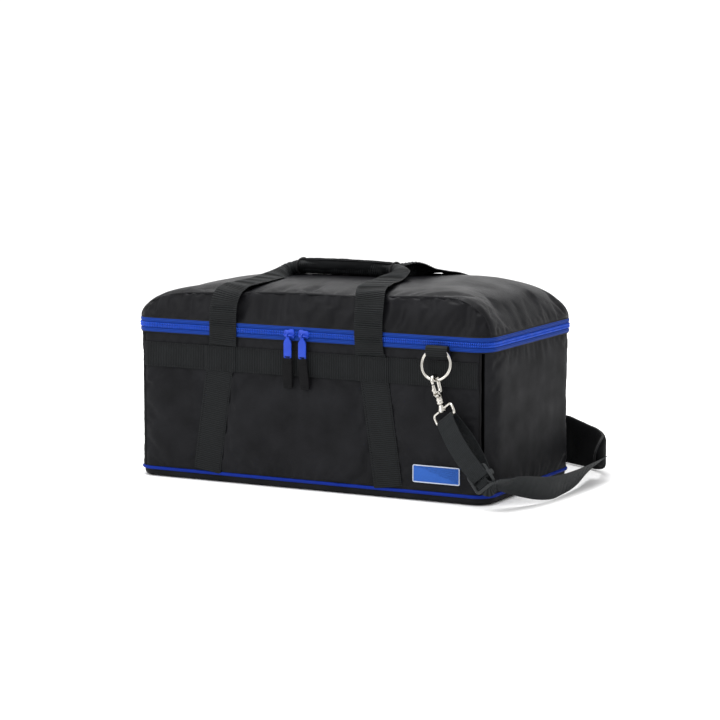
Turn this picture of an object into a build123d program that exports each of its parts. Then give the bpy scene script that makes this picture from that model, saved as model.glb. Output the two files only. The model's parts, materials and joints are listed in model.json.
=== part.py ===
"""Padded equipment shoulder bag with a zipped dome lid, webbing handles and a clip-on shoulder strap.

Millimetres. X runs along the bag's length, the front faces -Y, Z is up, and the origin is the centre
of the underside of the base.
"""

import os

from build123d import *

os.makedirs("parts", exist_ok=True)

# ---------------------------------------------------------------- driving dimensions
LENGTH = 640.0
DEPTH = 330.0
CORNER_R = 30.0
WALL = 10.0
BASE_THICK = 11.0
WALL_FOOT_Z = 17.0
RIM_Z = 240.0
SILL_Z = 264.0
LID_TOP_Z = 327.0
LID_WALL = 8.0
LID_END = (120.0, 60.0)
LID_SEAM_Y = 150.0
WELT = 3.0
WELT_PROUD = 1.0
WEB = 2.2
HANDLE_WIDTH = 50.0
HANDLE_CENTRE_X = -18.0
STRAP_WIDTH = 38.0
STRAP_THICK = 2.4
RING_X = 238.0

HALF_X = LENGTH / 2
HALF_Y = DEPTH / 2
SEAM_X = 305.0
ZIP_Z = (RIM_Z + SILL_Z) / 2

# the lid's front and back faces lean in to this edge, where the crowned top begins
LID_EDGE_Y = 155.0
LID_EDGE_Z = 314.0

# handle legs: half spacing at the rim and at the foot, and the height where each loop comes free
LEG_RIM_X = 132.0
LEG_FOOT_X = 166.0
LEG_TOP_Z = 226.0
BAND_Z = (184.0, 224.0)

# grip round the two folded handle loops
GRIP_Z = 343.0
GRIP_CENTRE_X = -10.5
GRIP_HALF_LENGTH = 87.5
CORE_Y = 7.0
CORE_SIZE = (6.0, 18.0)

# zipper: a tape each side of two rows of teeth, and a slider whose post runs between the rows
TAPE_HEIGHT = 9.5
TEETH_HEIGHT = 2.0
TAPE_SPAN = (1.0, -3.0)
TEETH_SPAN = (2.2, -3.0)
BACK_OPEN_X = 250.0
STOP_WIDTH = 4.0
SLIDER_SIZE = (20.0, 2.0, 14.0)
SLIDER_X = {"left": HANDLE_CENTRE_X - 10.5, "right": HANDLE_CENTRE_X + 16.0}
SLIDER_CLEAR = 0.5
POST_SIZE = (10.0, 0.6)
PULL_BAR = (-174.5, 250.0)
PULL_BAR_R = 1.2
PULLER_FOOT_Z = 212.0
TAB_FOOT_Z = 163.0
TAB_TILT = {"left": 2.0, "right": -8.0}

# O-ring hanging from its webbing loop, leaning out to the snap hook clipped on it
RING_WIRE_R = 2.5
RING_R = 24.5
RING_LEAN = 10.0
RING_TOP = Vector(RING_X, -175.5, 244.5)
RING_DOWN = Vector(0, -1, 0).rotate(Axis.X, 90 - RING_LEAN)
RING_BOTTOM = RING_TOP + RING_DOWN * (2 * RING_R)

# snap hook, measured along its own axis from the ring's wire
EYE_TOP = Vector(251, RING_BOTTOM.Y, 150)
HOOK_AXIS = (RING_BOTTOM - EYE_TOP).normalized()
HOOK_REACH = (RING_BOTTOM - EYE_TOP).length
CLAW_TOP = 8.4
CLAW_FOOT = -27.5
CLAW_WALL = 3.5
CLAW_WIDTH = 24.0
CLAW_THICK = 8.0
GATE_SPAN = (-21.0, -6.0)
COLLAR_FOOT = -38.0
STUD_R = 2.3

# shoulder strap: two layers from the hook's eye to the tri-glide, then one layer on its edge
EYE_BAR = 4.4
EYE_RISE = 17.0
FOLD = Vector(259, -188, 137)
GLIDE = Vector(323, -192, 50)
STRAP_DOWN = (GLIDE - FOLD).normalized()
STRAP_FLAT = Vector(0.86, -0.25, 0.43)
STRAP_ACROSS = (STRAP_FLAT - STRAP_DOWN * STRAP_FLAT.dot(STRAP_DOWN)).normalized()
GLIDE_SIZE = (47.0, 36.0, 2.5)
LOOP_TAIL = 19.0

# the rear strap hardware is the front set, mirrored front to back and moved to the other end
REAR_SHIFT = Location((-2 * RING_X, 0, 0))


def save(part, name):
    """Labels a finished piece and writes it as its own STEP file."""
    part.label = name
    export_step(part, f"parts/{name}.step")


def save_pair(part, name):
    """Writes a piece of the front strap hardware, and its twin at the rear."""
    save(part, f"front_{name}")
    save(mirror(part, about=Plane.XZ).moved(REAR_SHIFT), f"rear_{name}")


def plan_outline(grow, mode=Mode.ADD):
    """Rounded rectangle of the bag in plan, grown by a distance."""
    RectangleRounded(LENGTH + 2 * grow, DEPTH + 2 * grow, CORNER_R + grow, mode=mode)


def plan_ring(outer, inner):
    """Band round the bag in plan, between two outlines."""
    plan_outline(outer)
    plan_outline(inner, mode=Mode.SUBTRACT)


def ribbon(stations):
    """Webbing through (centre, along, across, width, thickness) stations."""
    with BuildPart() as piece:
        for centre, along, across, width, thick in stations:
            forward = Vector(*along).normalized()
            side = Vector(*across)
            side = (side - forward * side.dot(forward)).normalized()
            with BuildSketch(Plane(origin=centre, x_dir=side, z_dir=forward)):
                Rectangle(width, thick)
        loft(ruled=True)
    return piece.part


# ---------------------------------------------------------------- base
with BuildPart() as base_panel:
    with BuildSketch():
        plan_outline(-2)
    extrude(amount=BASE_THICK)
    fillet(base_panel.edges().group_by(Axis.Z)[0], 7)
    with BuildSketch(Plane.XY.offset(BASE_THICK)):
        plan_outline(-4.2)
    extrude(amount=WALL_FOOT_Z - BASE_THICK)
save(base_panel.part, "base_panel")

with BuildPart() as base_piping:
    with BuildSketch(Plane.XY.offset(BASE_THICK)):
        plan_ring(2, -4)
    extrude(amount=WALL_FOOT_Z - BASE_THICK)
    outer_edges = base_piping.faces().filter_by(Axis.Z).edges().filter_by(lambda e: e.length > 100)
    fillet([e for e in outer_edges if max(abs(e.center().X) - HALF_X, abs(e.center().Y) - HALF_Y) > 1], 2.4)
save(base_piping.part, "base_piping")

with BuildPart() as base_board:
    with BuildSketch(Plane.XY.offset(WALL_FOOT_Z)):
        plan_outline(-WALL - 4)
    extrude(amount=3)
save(base_board.part, "base_board")

# ---------------------------------------------------------------- padded walls
for panel_name, side in (("front_panel", -1), ("back_panel", 1)):
    with BuildPart() as panel:
        with BuildSketch(Plane.XY.offset(WALL_FOOT_Z)):
            plan_ring(0, -WALL)
            with Locations((0, side * HALF_Y)):
                Rectangle(2 * SEAM_X - WELT, 2 * CORNER_R, mode=Mode.INTERSECT)
        extrude(amount=RIM_Z - WALL_FOOT_Z)
    save(panel.part, panel_name)

for panel_name, side in (("left_end_panel", -1), ("right_end_panel", 1)):
    with BuildPart() as panel:
        with BuildSketch(Plane.XY.offset(WALL_FOOT_Z)):
            plan_ring(0, -WALL)
            with Locations((side * (SEAM_X + WELT / 2 + CORNER_R), 0)):
                Rectangle(2 * CORNER_R, DEPTH, mode=Mode.INTERSECT)
        extrude(amount=RIM_Z - WALL_FOOT_Z)
    save(panel.part, panel_name)

with BuildPart() as corner_welts:
    with BuildSketch(Plane.XY.offset(WALL_FOOT_Z)):
        plan_ring(WELT_PROUD, -WALL)
        with GridLocations(2 * SEAM_X, DEPTH, 2, 2):
            Rectangle(WELT, 2 * CORNER_R, mode=Mode.INTERSECT)
    extrude(amount=RIM_Z - WALL_FOOT_Z)
save(corner_welts.part, "corner_welts")


# ---------------------------------------------------------------- handle legs and the bands over them
def leg_outline(side):
    """One sloping handle leg, on the front face, from the foot of the wall to where the loop is free."""
    slope = (LEG_FOOT_X - LEG_RIM_X) / (ZIP_Z - WALL_FOOT_Z)
    top_x = LEG_RIM_X + slope * (ZIP_Z - LEG_TOP_Z)
    half = HANDLE_WIDTH / 2
    Polygon(
        (HANDLE_CENTRE_X + side * LEG_FOOT_X - half, WALL_FOOT_Z),
        (HANDLE_CENTRE_X + side * LEG_FOOT_X + half, WALL_FOOT_Z),
        (HANDLE_CENTRE_X + side * top_x + half, LEG_TOP_Z),
        (HANDLE_CENTRE_X + side * top_x - half, LEG_TOP_Z),
        align=None,
    )


FRONT_FACE = Plane.XZ.offset(HALF_Y)

for leg_name, side in (("left_leg", -1), ("right_leg", 1)):
    with BuildPart() as leg:
        with BuildSketch(FRONT_FACE):
            leg_outline(side)
        extrude(amount=WEB)
    save(leg.part, f"front_{leg_name}")
    save(mirror(leg.part, about=Plane.XZ), f"rear_{leg_name}")

with BuildPart() as band:
    with BuildSketch(Plane.XY.offset(BAND_Z[0])):
        plan_ring(2 * WEB, 0)
        with Locations((0, -HALF_Y)):
            Rectangle(2 * SEAM_X - WELT - 1, 2 * CORNER_R, mode=Mode.INTERSECT)
    extrude(amount=BAND_Z[1] - BAND_Z[0])
    with BuildSketch(FRONT_FACE):
        leg_outline(-1)
        leg_outline(1)
    extrude(amount=WEB, mode=Mode.SUBTRACT)
save(band.part, "front_band")
save(mirror(band.part, about=Plane.XZ), "rear_band")

with BuildPart() as label_patch:
    with BuildSketch(FRONT_FACE):
        with Locations((232, 44)):
            RectangleRounded(82, 28, 2)
    extrude(amount=1.4)
save(label_patch.part, "label_patch")


# ---------------------------------------------------------------- free handle loops and their grip
def handle_stations():
    """Half of the front loop, from the front face up over the lid's edge to the grip."""
    up, back, right, down = (0, 0, 1), (0, 1, 0.12), (1, 0, 0), (0, 0, -1)
    return [
        ((133, -168, LEG_TOP_Z + 0.3), up, right, HANDLE_WIDTH, WEB),
        ((132, -171, 262), up, right, HANDLE_WIDTH, WEB),
        ((132, -169, 294), (0, 0.15, 1), right, HANDLE_WIDTH, WEB),
        ((132, -159, 320), (0, 0.6, 1), right, HANDLE_WIDTH, WEB),
        ((131, -138, 328), back, right, 49, WEB),
        ((128, -88, 335), (0.1, 1, 0.1), right, 48, WEB),
        ((123, -50, 341), (0.3, 0.95, 0), (0.9, -0.28, -0.35), 46, 2.6),
        ((112, -22, 343), (0.75, 0.65, 0), (0.4, -0.45, -0.8), 34, 4),
        ((96, -CORE_Y, GRIP_Z), right, down, CORE_SIZE[1], CORE_SIZE[0]),
    ]


loop_path = []
for centre, along, across, width, thick in handle_stations():
    left_centre = (HANDLE_CENTRE_X - centre[0], centre[1], centre[2])
    loop_path.append((left_centre, along, across, width, thick))
for centre, along, across, width, thick in reversed(handle_stations()):
    right_centre = (HANDLE_CENTRE_X + centre[0], centre[1], centre[2])
    right_along = (along[0], -along[1], -along[2])
    right_across = (-across[0], across[1], across[2])
    loop_path.append((right_centre, right_along, right_across, width, thick))
front_handle_loop = ribbon(loop_path)
save(front_handle_loop, "front_handle_loop")
save(mirror(front_handle_loop, about=Plane.XZ), "rear_handle_loop")

GRIP_SECTION = Plane.YZ.offset(GRIP_CENTRE_X)

with BuildPart() as handle_grip_pad:
    with BuildSketch(GRIP_SECTION):
        with Locations((0, GRIP_Z)):
            Ellipse(22, 12.6)
        with Locations((-CORE_Y, GRIP_Z), (CORE_Y, GRIP_Z)):
            Rectangle(CORE_SIZE[0] + 1, CORE_SIZE[1] + 0.8, mode=Mode.SUBTRACT)
    extrude(amount=GRIP_HALF_LENGTH, both=True)
save(handle_grip_pad.part, "handle_grip_pad")

with BuildPart() as handle_grip_flap:
    with BuildSketch(GRIP_SECTION):
        with Locations((0, GRIP_Z)):
            Ellipse(23.6, 14.2)
            Ellipse(22.1, 12.7, mode=Mode.SUBTRACT)
        with Locations((-12, GRIP_Z + 12)):
            Rectangle(46, 24, mode=Mode.INTERSECT)
    extrude(amount=GRIP_HALF_LENGTH - 12, both=True)
save(handle_grip_flap.part, "handle_grip_flap")


# ---------------------------------------------------------------- lid
def dome(grow):
    """Form of the lid, grown by a distance: its end and side profiles crossed, on the bag's plan."""
    top = LID_TOP_Z + grow
    with BuildPart() as form:
        with BuildSketch(Plane.XY.offset(SILL_Z)):
            plan_outline(grow)
        extrude(amount=top - SILL_Z + 1)
        with BuildSketch(Plane.XZ):
            roll_x, roll_z = LID_END[0] + grow, LID_END[1] + grow
            with Locations((0, (SILL_Z + top) / 2)):
                Rectangle(LENGTH - 2 * LID_END[0], top - SILL_Z)
            with Locations((0, (SILL_Z + top - roll_z) / 2)):
                Rectangle(LENGTH + 2 * grow, top - roll_z - SILL_Z)
            with Locations((LID_END[0] - HALF_X, top - roll_z), (HALF_X - LID_END[0], top - roll_z)):
                Ellipse(roll_x, roll_z)
        extrude(amount=DEPTH, both=True, mode=Mode.INTERSECT)
        with BuildSketch(Plane.YZ):
            with BuildLine():
                edge = (LID_EDGE_Y + grow, LID_EDGE_Z + grow)
                foot = (HALF_Y + grow, SILL_Z)
                Polyline((-edge[0], edge[1]), (-foot[0], foot[1]), foot, edge)
                ThreePointArc(edge, (0, top), (-edge[0], edge[1]))
            make_face()
        extrude(amount=LENGTH, both=True, mode=Mode.INTERSECT)
    return form.part


def lid_slice(y_low, y_high, proud):
    """The part of the lid's shell between two planes across its depth."""
    with BuildPart() as piece:
        add(dome(proud))
        add(dome(-LID_WALL), mode=Mode.SUBTRACT)
        with BuildSketch(Plane.XY.offset(SILL_Z)):
            with Locations((0, (y_low + y_high) / 2)):
                Rectangle(2 * LENGTH, y_high - y_low)
        extrude(amount=LENGTH, mode=Mode.INTERSECT)
    return piece.part


save(lid_slice(-HALF_Y, -LID_SEAM_Y - WELT / 2, 0), "lid_front_panel")
save(lid_slice(-LID_SEAM_Y + WELT / 2, LID_SEAM_Y - WELT / 2, 0), "lid_top_panel")
save(lid_slice(LID_SEAM_Y + WELT / 2, HALF_Y, 0), "lid_back_panel")

front_lid_welt = lid_slice(-LID_SEAM_Y - WELT / 2, -LID_SEAM_Y + WELT / 2, WELT_PROUD)
with BuildPart() as lid_welts:
    add(front_lid_welt)
    add(mirror(front_lid_welt, about=Plane.XZ))
save(lid_welts.part, "lid_welts")


# ---------------------------------------------------------------- zipper and fabric hinge
def rim_strip(bottom, height, span, open_x):
    """Strip round the rim on the front and both ends, open along the back."""
    with BuildPart() as strip:
        with BuildSketch(Plane.XY.offset(bottom)):
            plan_ring(*span)
            with Locations((0, HALF_Y)):
                Rectangle(2 * open_x, 4 * CORNER_R, mode=Mode.SUBTRACT)
        extrude(amount=height)
    return strip.part


save(rim_strip(RIM_Z, TAPE_HEIGHT, TAPE_SPAN, BACK_OPEN_X), "lower_zipper_tape")
save(rim_strip(SILL_Z - TAPE_HEIGHT, TAPE_HEIGHT, TAPE_SPAN, BACK_OPEN_X), "upper_zipper_tape")
teeth_open_x = BACK_OPEN_X + STOP_WIDTH
save(rim_strip(RIM_Z + TAPE_HEIGHT, TEETH_HEIGHT, TEETH_SPAN, teeth_open_x), "lower_zipper_teeth")
upper_teeth_z = SILL_Z - TAPE_HEIGHT - TEETH_HEIGHT
save(rim_strip(upper_teeth_z, TEETH_HEIGHT, TEETH_SPAN, teeth_open_x), "upper_zipper_teeth")

with BuildPart() as zipper_end_stops:
    with BuildSketch(Plane.XY.offset(RIM_Z + TAPE_HEIGHT)):
        with GridLocations(2 * BACK_OPEN_X + STOP_WIDTH, 1, 2, 1):
            with Locations((0, HALF_Y - 0.4)):
                Rectangle(STOP_WIDTH - 0.4, 5.2)
    extrude(amount=TEETH_HEIGHT)
save(zipper_end_stops.part, "zipper_end_stops")

for strip_name, bottom in (("lower_hinge_strip", RIM_Z), ("upper_hinge_strip", upper_teeth_z)):
    with BuildPart() as strip:
        with BuildSketch(Plane.XY.offset(bottom)):
            with Locations((0, HALF_Y - 1)):
                Rectangle(2 * BACK_OPEN_X - 1, 4)
        extrude(amount=TAPE_HEIGHT + TEETH_HEIGHT)
    save(strip.part, strip_name)

teeth_face_y = -HALF_Y - TEETH_SPAN[0]
tape_back_y = -HALF_Y - TAPE_SPAN[1]

for side, slider_x in SLIDER_X.items():
    plate_x, plate_thick, plate_z = SLIDER_SIZE
    front_plate_y = teeth_face_y - SLIDER_CLEAR - plate_thick / 2
    back_plate_y = tape_back_y + SLIDER_CLEAR + plate_thick / 2
    bar_y, bar_z = PULL_BAR
    with BuildPart() as slider:
        # front and back plates joined by the post between the rows of teeth
        with BuildSketch(Plane.XY.offset(ZIP_Z - plate_z / 2)):
            with Locations((slider_x, front_plate_y), (slider_x, back_plate_y)):
                Rectangle(plate_x, plate_thick)
        extrude(amount=plate_z)
        with BuildSketch(Plane.XY.offset(ZIP_Z - POST_SIZE[1] / 2)):
            with Locations((slider_x, (front_plate_y + back_plate_y) / 2)):
                Rectangle(POST_SIZE[0], back_plate_y - front_plate_y)
        extrude(amount=POST_SIZE[1])
        # bridge on the front plate that the puller hangs from
        with BuildSketch(Plane.XY.offset(bar_z - 2)):
            with Locations((slider_x - 8, 0), (slider_x + 8, 0)):
                with Locations((0, (bar_y + front_plate_y) / 2)):
                    Rectangle(2.4, front_plate_y - bar_y + 2 * PULL_BAR_R)
        extrude(amount=4)
        with BuildSketch(Plane.YZ.offset(slider_x)):
            with Locations((bar_y, bar_z)):
                Circle(PULL_BAR_R)
        extrude(amount=8, both=True)
    save(slider.part, f"{side}_slider")

    with BuildPart() as puller:
        with BuildSketch(Plane.XZ.offset(-bar_y)):
            with BuildLine():
                Polyline(
                    (slider_x - 3, bar_z),
                    (slider_x - 3, bar_z - 6),
                    (slider_x - 7, bar_z - 12),
                    (slider_x - 7, PULLER_FOOT_Z),
                    (slider_x + 7, PULLER_FOOT_Z),
                    (slider_x + 7, bar_z - 12),
                    (slider_x + 3, bar_z - 6),
                    (slider_x + 3, bar_z),
                    close=True,
                )
            make_face()
            with Locations((slider_x, PULLER_FOOT_Z + 5)):
                Rectangle(9, 4, mode=Mode.SUBTRACT)
        extrude(amount=1.2, both=True)
        with BuildSketch(Plane.YZ.offset(slider_x)):
            with Locations((bar_y, bar_z)):
                Circle(3.2)
        extrude(amount=3, both=True)
        with BuildSketch(Plane.YZ.offset(slider_x)):
            with Locations((bar_y, bar_z)):
                Circle(PULL_BAR_R + 0.5)
        extrude(amount=10, both=True, mode=Mode.SUBTRACT)
    save(puller.part, f"{side}_puller")

    # webbing tab folded through the puller's slot, hanging a little off the vertical
    slot_z = PULLER_FOOT_Z + 5
    with BuildPart() as pull_tab:
        with BuildSketch(Plane.XZ.offset(-bar_y)):
            with Locations((slider_x, (slot_z + 5 + TAB_FOOT_Z) / 2)):
                RectangleRounded(16, slot_z + 5 - TAB_FOOT_Z, 2)
        extrude(amount=3, both=True)
        with BuildSketch(Plane.XZ.offset(-bar_y)):
            with Locations((slider_x, slot_z)):
                Rectangle(20, 14.4)
                Rectangle(7.5, 2.4, mode=Mode.SUBTRACT)
        extrude(amount=1.5, both=True, mode=Mode.SUBTRACT)
    pivot = Axis((slider_x, bar_y, slot_z), (0, 1, 0))
    save(pull_tab.part.rotate(pivot, TAB_TILT[side]), f"{side}_pull_tab")

# ---------------------------------------------------------------- O-rings on their webbing loops
LOOP_SECTION = Plane.YZ.offset(RING_X)
LOOP_WIDTH = 38.0
LOOP_HOLE = (9.2, 20.0)
LOOP_HOLE_Y = RING_TOP.Y - 0.8
LOOP_HOLE_Z = RING_TOP.Z + LOOP_HOLE[0] / 2 - LOOP_HOLE[1] / 2

with BuildPart() as ring_loop:
    with BuildSketch(LOOP_SECTION):
        with Locations((LOOP_HOLE_Y, LOOP_HOLE_Z)):
            SlotOverall(LOOP_HOLE[1] + 2 * WEB, LOOP_HOLE[0] + 2 * WEB, rotation=90)
        tail_top = LOOP_HOLE_Z - LOOP_HOLE[1] / 2 + 1
        with Locations(((RING_TOP.Y - HALF_Y) / 2 - 1, (LEG_TOP_Z - 1 + tail_top) / 2)):
            Rectangle(RING_TOP.Y * -1 - HALF_Y + 2, tail_top - LEG_TOP_Z + 1)
        with Locations((LOOP_HOLE_Y, LOOP_HOLE_Z)):
            SlotOverall(LOOP_HOLE[1], LOOP_HOLE[0], rotation=90, mode=Mode.SUBTRACT)
    extrude(amount=LOOP_WIDTH / 2, both=True)
    split(bisect_by=FRONT_FACE, keep=Keep.TOP)
save_pair(ring_loop.part, "ring_loop")

with BuildPart() as ring:
    ring_centre = RING_TOP + RING_DOWN * RING_R
    ring_normal = RING_DOWN.cross(Vector(1, 0, 0))
    with BuildSketch(Plane(origin=RING_TOP, x_dir=ring_normal, z_dir=(1, 0, 0))):
        Circle(RING_WIRE_R)
    revolve(axis=Axis(ring_centre, ring_normal))
save_pair(ring.part, "ring")

# ---------------------------------------------------------------- snap hooks
# the claw's own plane: local X points out from the bag, local Y runs up the hook
OUTWARD = Vector(0, -1, 0)
HOOK_SIDE = OUTWARD.cross(HOOK_AXIS)
HOOK_PLANE = Plane(origin=RING_BOTTOM, x_dir=OUTWARD, z_dir=HOOK_SIDE)
claw_mid = (CLAW_TOP + CLAW_FOOT) / 2
claw_height = CLAW_TOP - CLAW_FOOT
gate_mid = sum(GATE_SPAN) / 2
gate_length = GATE_SPAN[1] - GATE_SPAN[0]
gate_x = CLAW_WIDTH / 2 - CLAW_WALL / 2


def hook_level(height):
    """Plane square to the hook's axis, at a height above the ring's wire."""
    return Plane(origin=RING_BOTTOM + HOOK_AXIS * height, x_dir=HOOK_SIDE, z_dir=HOOK_AXIS)


with BuildPart() as hook_body:
    with BuildSketch(HOOK_PLANE):
        with Locations((0, claw_mid)):
            RectangleRounded(CLAW_WIDTH, claw_height, 6.4)
            RectangleRounded(CLAW_WIDTH - 2 * CLAW_WALL, claw_height - 2 * CLAW_WALL, 3, mode=Mode.SUBTRACT)
        with Locations((gate_x, gate_mid)):
            Rectangle(CLAW_WALL + 2, gate_length + 0.8, mode=Mode.SUBTRACT)
    extrude(amount=CLAW_THICK / 2, both=True)
    with BuildSketch(hook_level(COLLAR_FOOT)):
        Circle(6)
    extrude(amount=CLAW_FOOT + 1 - COLLAR_FOOT)
    with BuildSketch(hook_level(COLLAR_FOOT)):
        Circle(STUD_R + 0.3)
    extrude(amount=CLAW_FOOT + CLAW_WALL + 1 - COLLAR_FOOT, mode=Mode.SUBTRACT)
save_pair(hook_body.part, "hook_body")

with BuildPart() as hook_gate:
    with BuildSketch(HOOK_PLANE):
        with Locations((gate_x, gate_mid)):
            SlotOverall(gate_length, 3, rotation=90)
        with Locations((gate_x + 2.5, gate_mid - 1)):
            RectangleRounded(5, 5, 1)
    extrude(amount=CLAW_THICK / 2 - 1, both=True)
save_pair(hook_gate.part, "hook_gate")

# swivelling eye: a headed stud up through the collar, on a frame that the strap folds round
eye_down = (FOLD - EYE_TOP - STRAP_ACROSS * (FOLD - EYE_TOP).dot(STRAP_ACROSS)).normalized()
EYE_PLANE = Plane(origin=FOLD - eye_down * (EYE_RISE / 2), x_dir=STRAP_ACROSS, z_dir=STRAP_ACROSS.cross(eye_down))

with BuildPart() as hook_eye:
    with BuildSketch(EYE_PLANE):
        RectangleRounded(STRAP_WIDTH + 2 + 2 * EYE_BAR, EYE_RISE + EYE_BAR, 5)
        RectangleRounded(STRAP_WIDTH + 2, EYE_RISE - EYE_BAR, 1.5, mode=Mode.SUBTRACT)
    extrude(amount=EYE_BAR / 2, both=True)
    with BuildSketch(hook_level(-HOOK_REACH)):
        Circle(STUD_R)
    extrude(amount=HOOK_REACH - 23.5)
    with BuildSketch(hook_level(-23.6)):
        Circle(4.2)
    extrude(amount=2.6)
    with BuildSketch(hook_level(-HOOK_REACH)):
        Circle(4)
    extrude(amount=HOOK_REACH + COLLAR_FOOT - 0.6)
save_pair(hook_eye.part, "hook_eye")

# ---------------------------------------------------------------- shoulder strap
STRAP_NORMAL = STRAP_ACROSS.cross(STRAP_DOWN)
loop_length = (GLIDE - FOLD).length + LOOP_TAIL

with BuildPart() as strap_loop:
    with BuildSketch(Plane(origin=FOLD, x_dir=STRAP_DOWN, z_dir=STRAP_ACROSS)):
        Circle(EYE_BAR / 2 + 1 + STRAP_THICK)
        with Locations((loop_length / 2, 0)):
            Rectangle(loop_length, 2 * STRAP_THICK)
        Rectangle(EYE_BAR + 2.2, EYE_BAR + 2.2, mode=Mode.SUBTRACT)
    extrude(amount=STRAP_WIDTH / 2, both=True)
save_pair(strap_loop.part, "strap_loop")

with BuildPart() as triglide:
    glide_width, glide_height, glide_thick = GLIDE_SIZE
    glide_gap = 2 * STRAP_THICK + 1
    outer_face = glide_gap / 2
    rail = (glide_width - STRAP_WIDTH - 1) / 2
    with BuildSketch(Plane(origin=GLIDE + STRAP_NORMAL * outer_face, x_dir=STRAP_ACROSS, z_dir=STRAP_NORMAL)):
        RectangleRounded(glide_width, glide_height, 6)
        Rectangle(STRAP_WIDTH + 1, glide_height - 12, mode=Mode.SUBTRACT)
    extrude(amount=glide_thick)
    with BuildSketch(Plane(origin=GLIDE - STRAP_NORMAL * (outer_face + glide_thick), x_dir=STRAP_ACROSS,
                           z_dir=STRAP_NORMAL)):
        Rectangle(glide_width, 7)
    extrude(amount=glide_thick)
    with BuildSketch(Plane(origin=GLIDE - STRAP_NORMAL * (outer_face + glide_thick), x_dir=STRAP_ACROSS,
                           z_dir=STRAP_NORMAL)):
        with GridLocations(glide_width - rail, 1, 2, 1):
            Rectangle(rail, 16)
    extrude(amount=glide_gap + 2 * glide_thick)
save_pair(triglide.part, "triglide")

UPRIGHT = (0, 0, 1)
tail = FOLD + STRAP_DOWN * loop_length
front_strap = ribbon([
    (tail, STRAP_DOWN, STRAP_ACROSS, STRAP_WIDTH, STRAP_THICK),
    ((347, -186, 44), (0.6, 0.75, -0.2), (0.85, -0.3, 0.45), STRAP_WIDTH, STRAP_THICK),
    ((370, -135, 33), (0.35, 0.9, -0.25), (0.5, 0, 0.86), STRAP_WIDTH, STRAP_THICK),
    ((380, -100, 25), (0.22, 1, -0.15), (0.26, 0, 0.97), STRAP_WIDTH, STRAP_THICK),
    ((386.5, -60, 20.5), (0.06, 1, 0), (0.19, 0, 0.98), STRAP_WIDTH, STRAP_THICK),
    ((387, -20, 20), (0, 1, 0), (0.3, 0, 0.95), STRAP_WIDTH, STRAP_THICK),
    ((386.5, 20, 20.5), (-0.03, 1, 0.03), (0.39, 0, 0.92), STRAP_WIDTH, STRAP_THICK),
    ((385, 60, 22.5), (-0.06, 1, 0.07), (0.52, 0, 0.86), STRAP_WIDTH, STRAP_THICK),
    ((381, 100, 25.5), (-0.1, 1, 0.07), (0.68, 0, 0.73), STRAP_WIDTH, STRAP_THICK),
    ((378, 127, 27.5), (-0.1, 1, 0.07), (0.78, 0, 0.63), STRAP_WIDTH, STRAP_THICK),
])
save(front_strap, "front_strap")

PAD_THICK = 10.0
PAD_FLOOR = 1.5
# point on the floor, direction, height of the lower edge, width
pad_path = [
    ((374.5, 134), (0, 1), 27, 20),
    ((374.5, 142), (0, 1), 25, 29),
    ((374, 153), (-0.1, 1), 22, 38),
    ((371, 168), (-0.25, 1), 18, 46),
    ((366, 186), (-0.45, 1), 12, 54),
    ((355, 206), (-0.7, 0.85), 6, 62),
    ((338, 223), (-1, 0.75), PAD_FLOOR, 69),
    ((316, 239), (-1, 0.62), PAD_FLOOR, 72),
    ((292, 253), (-1, 0.5), PAD_FLOOR, 76),
    ((264, 266.5), (-1, 0.45), PAD_FLOOR, 80),
    ((232, 280), (-1, 0.4), PAD_FLOOR, 70),
    ((208, 289), (-1, 0.4), PAD_FLOOR, 50),
]
shoulder_pad = ribbon([
    ((x, y, low + width / 2), (along_x, along_y, 0), UPRIGHT, width, PAD_THICK)
    for (x, y), (along_x, along_y), low, width in pad_path
])
save(shoulder_pad, "shoulder_pad")

rear_tail = Vector(tail.X - 2 * RING_X, -tail.Y, tail.Z)
rear_strap = ribbon([
    (rear_tail, (STRAP_DOWN.X, -STRAP_DOWN.Y, STRAP_DOWN.Z), (STRAP_ACROSS.X, -STRAP_ACROSS.Y, STRAP_ACROSS.Z),
     STRAP_WIDTH, STRAP_THICK),
    ((-122, 197, 26), (1, 0.2, -0.2), (0.2, 0.1, 1), STRAP_WIDTH, STRAP_THICK),
    ((-90, 206, 21), (1, 0.3, 0), UPRIGHT, STRAP_WIDTH, STRAP_THICK),
    ((-30, 222, 20.5), (1, 0.2, 0), UPRIGHT, STRAP_WIDTH, STRAP_THICK),
    ((45, 233, 20.5), (1, 0.2, 0), UPRIGHT, STRAP_WIDTH, STRAP_THICK),
    ((120, 253, 21), (1, 0.35, 0), UPRIGHT, STRAP_WIDTH, STRAP_THICK),
    ((172, 274, 24), (1, 0.38, 0.1), UPRIGHT, STRAP_WIDTH, STRAP_THICK),
    ((207.2, 289.2, 27.5), (1, -0.4, 0), UPRIGHT, STRAP_WIDTH, STRAP_THICK),
])
save(rear_strap, "rear_strap")
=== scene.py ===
"""Looks of a padded equipment shoulder bag: padded panels, webbing, zipper, snap hooks and strap.

Everything is in metres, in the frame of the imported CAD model: X along the bag, front towards -Y, Z up.
"""

import json
import math

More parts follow.
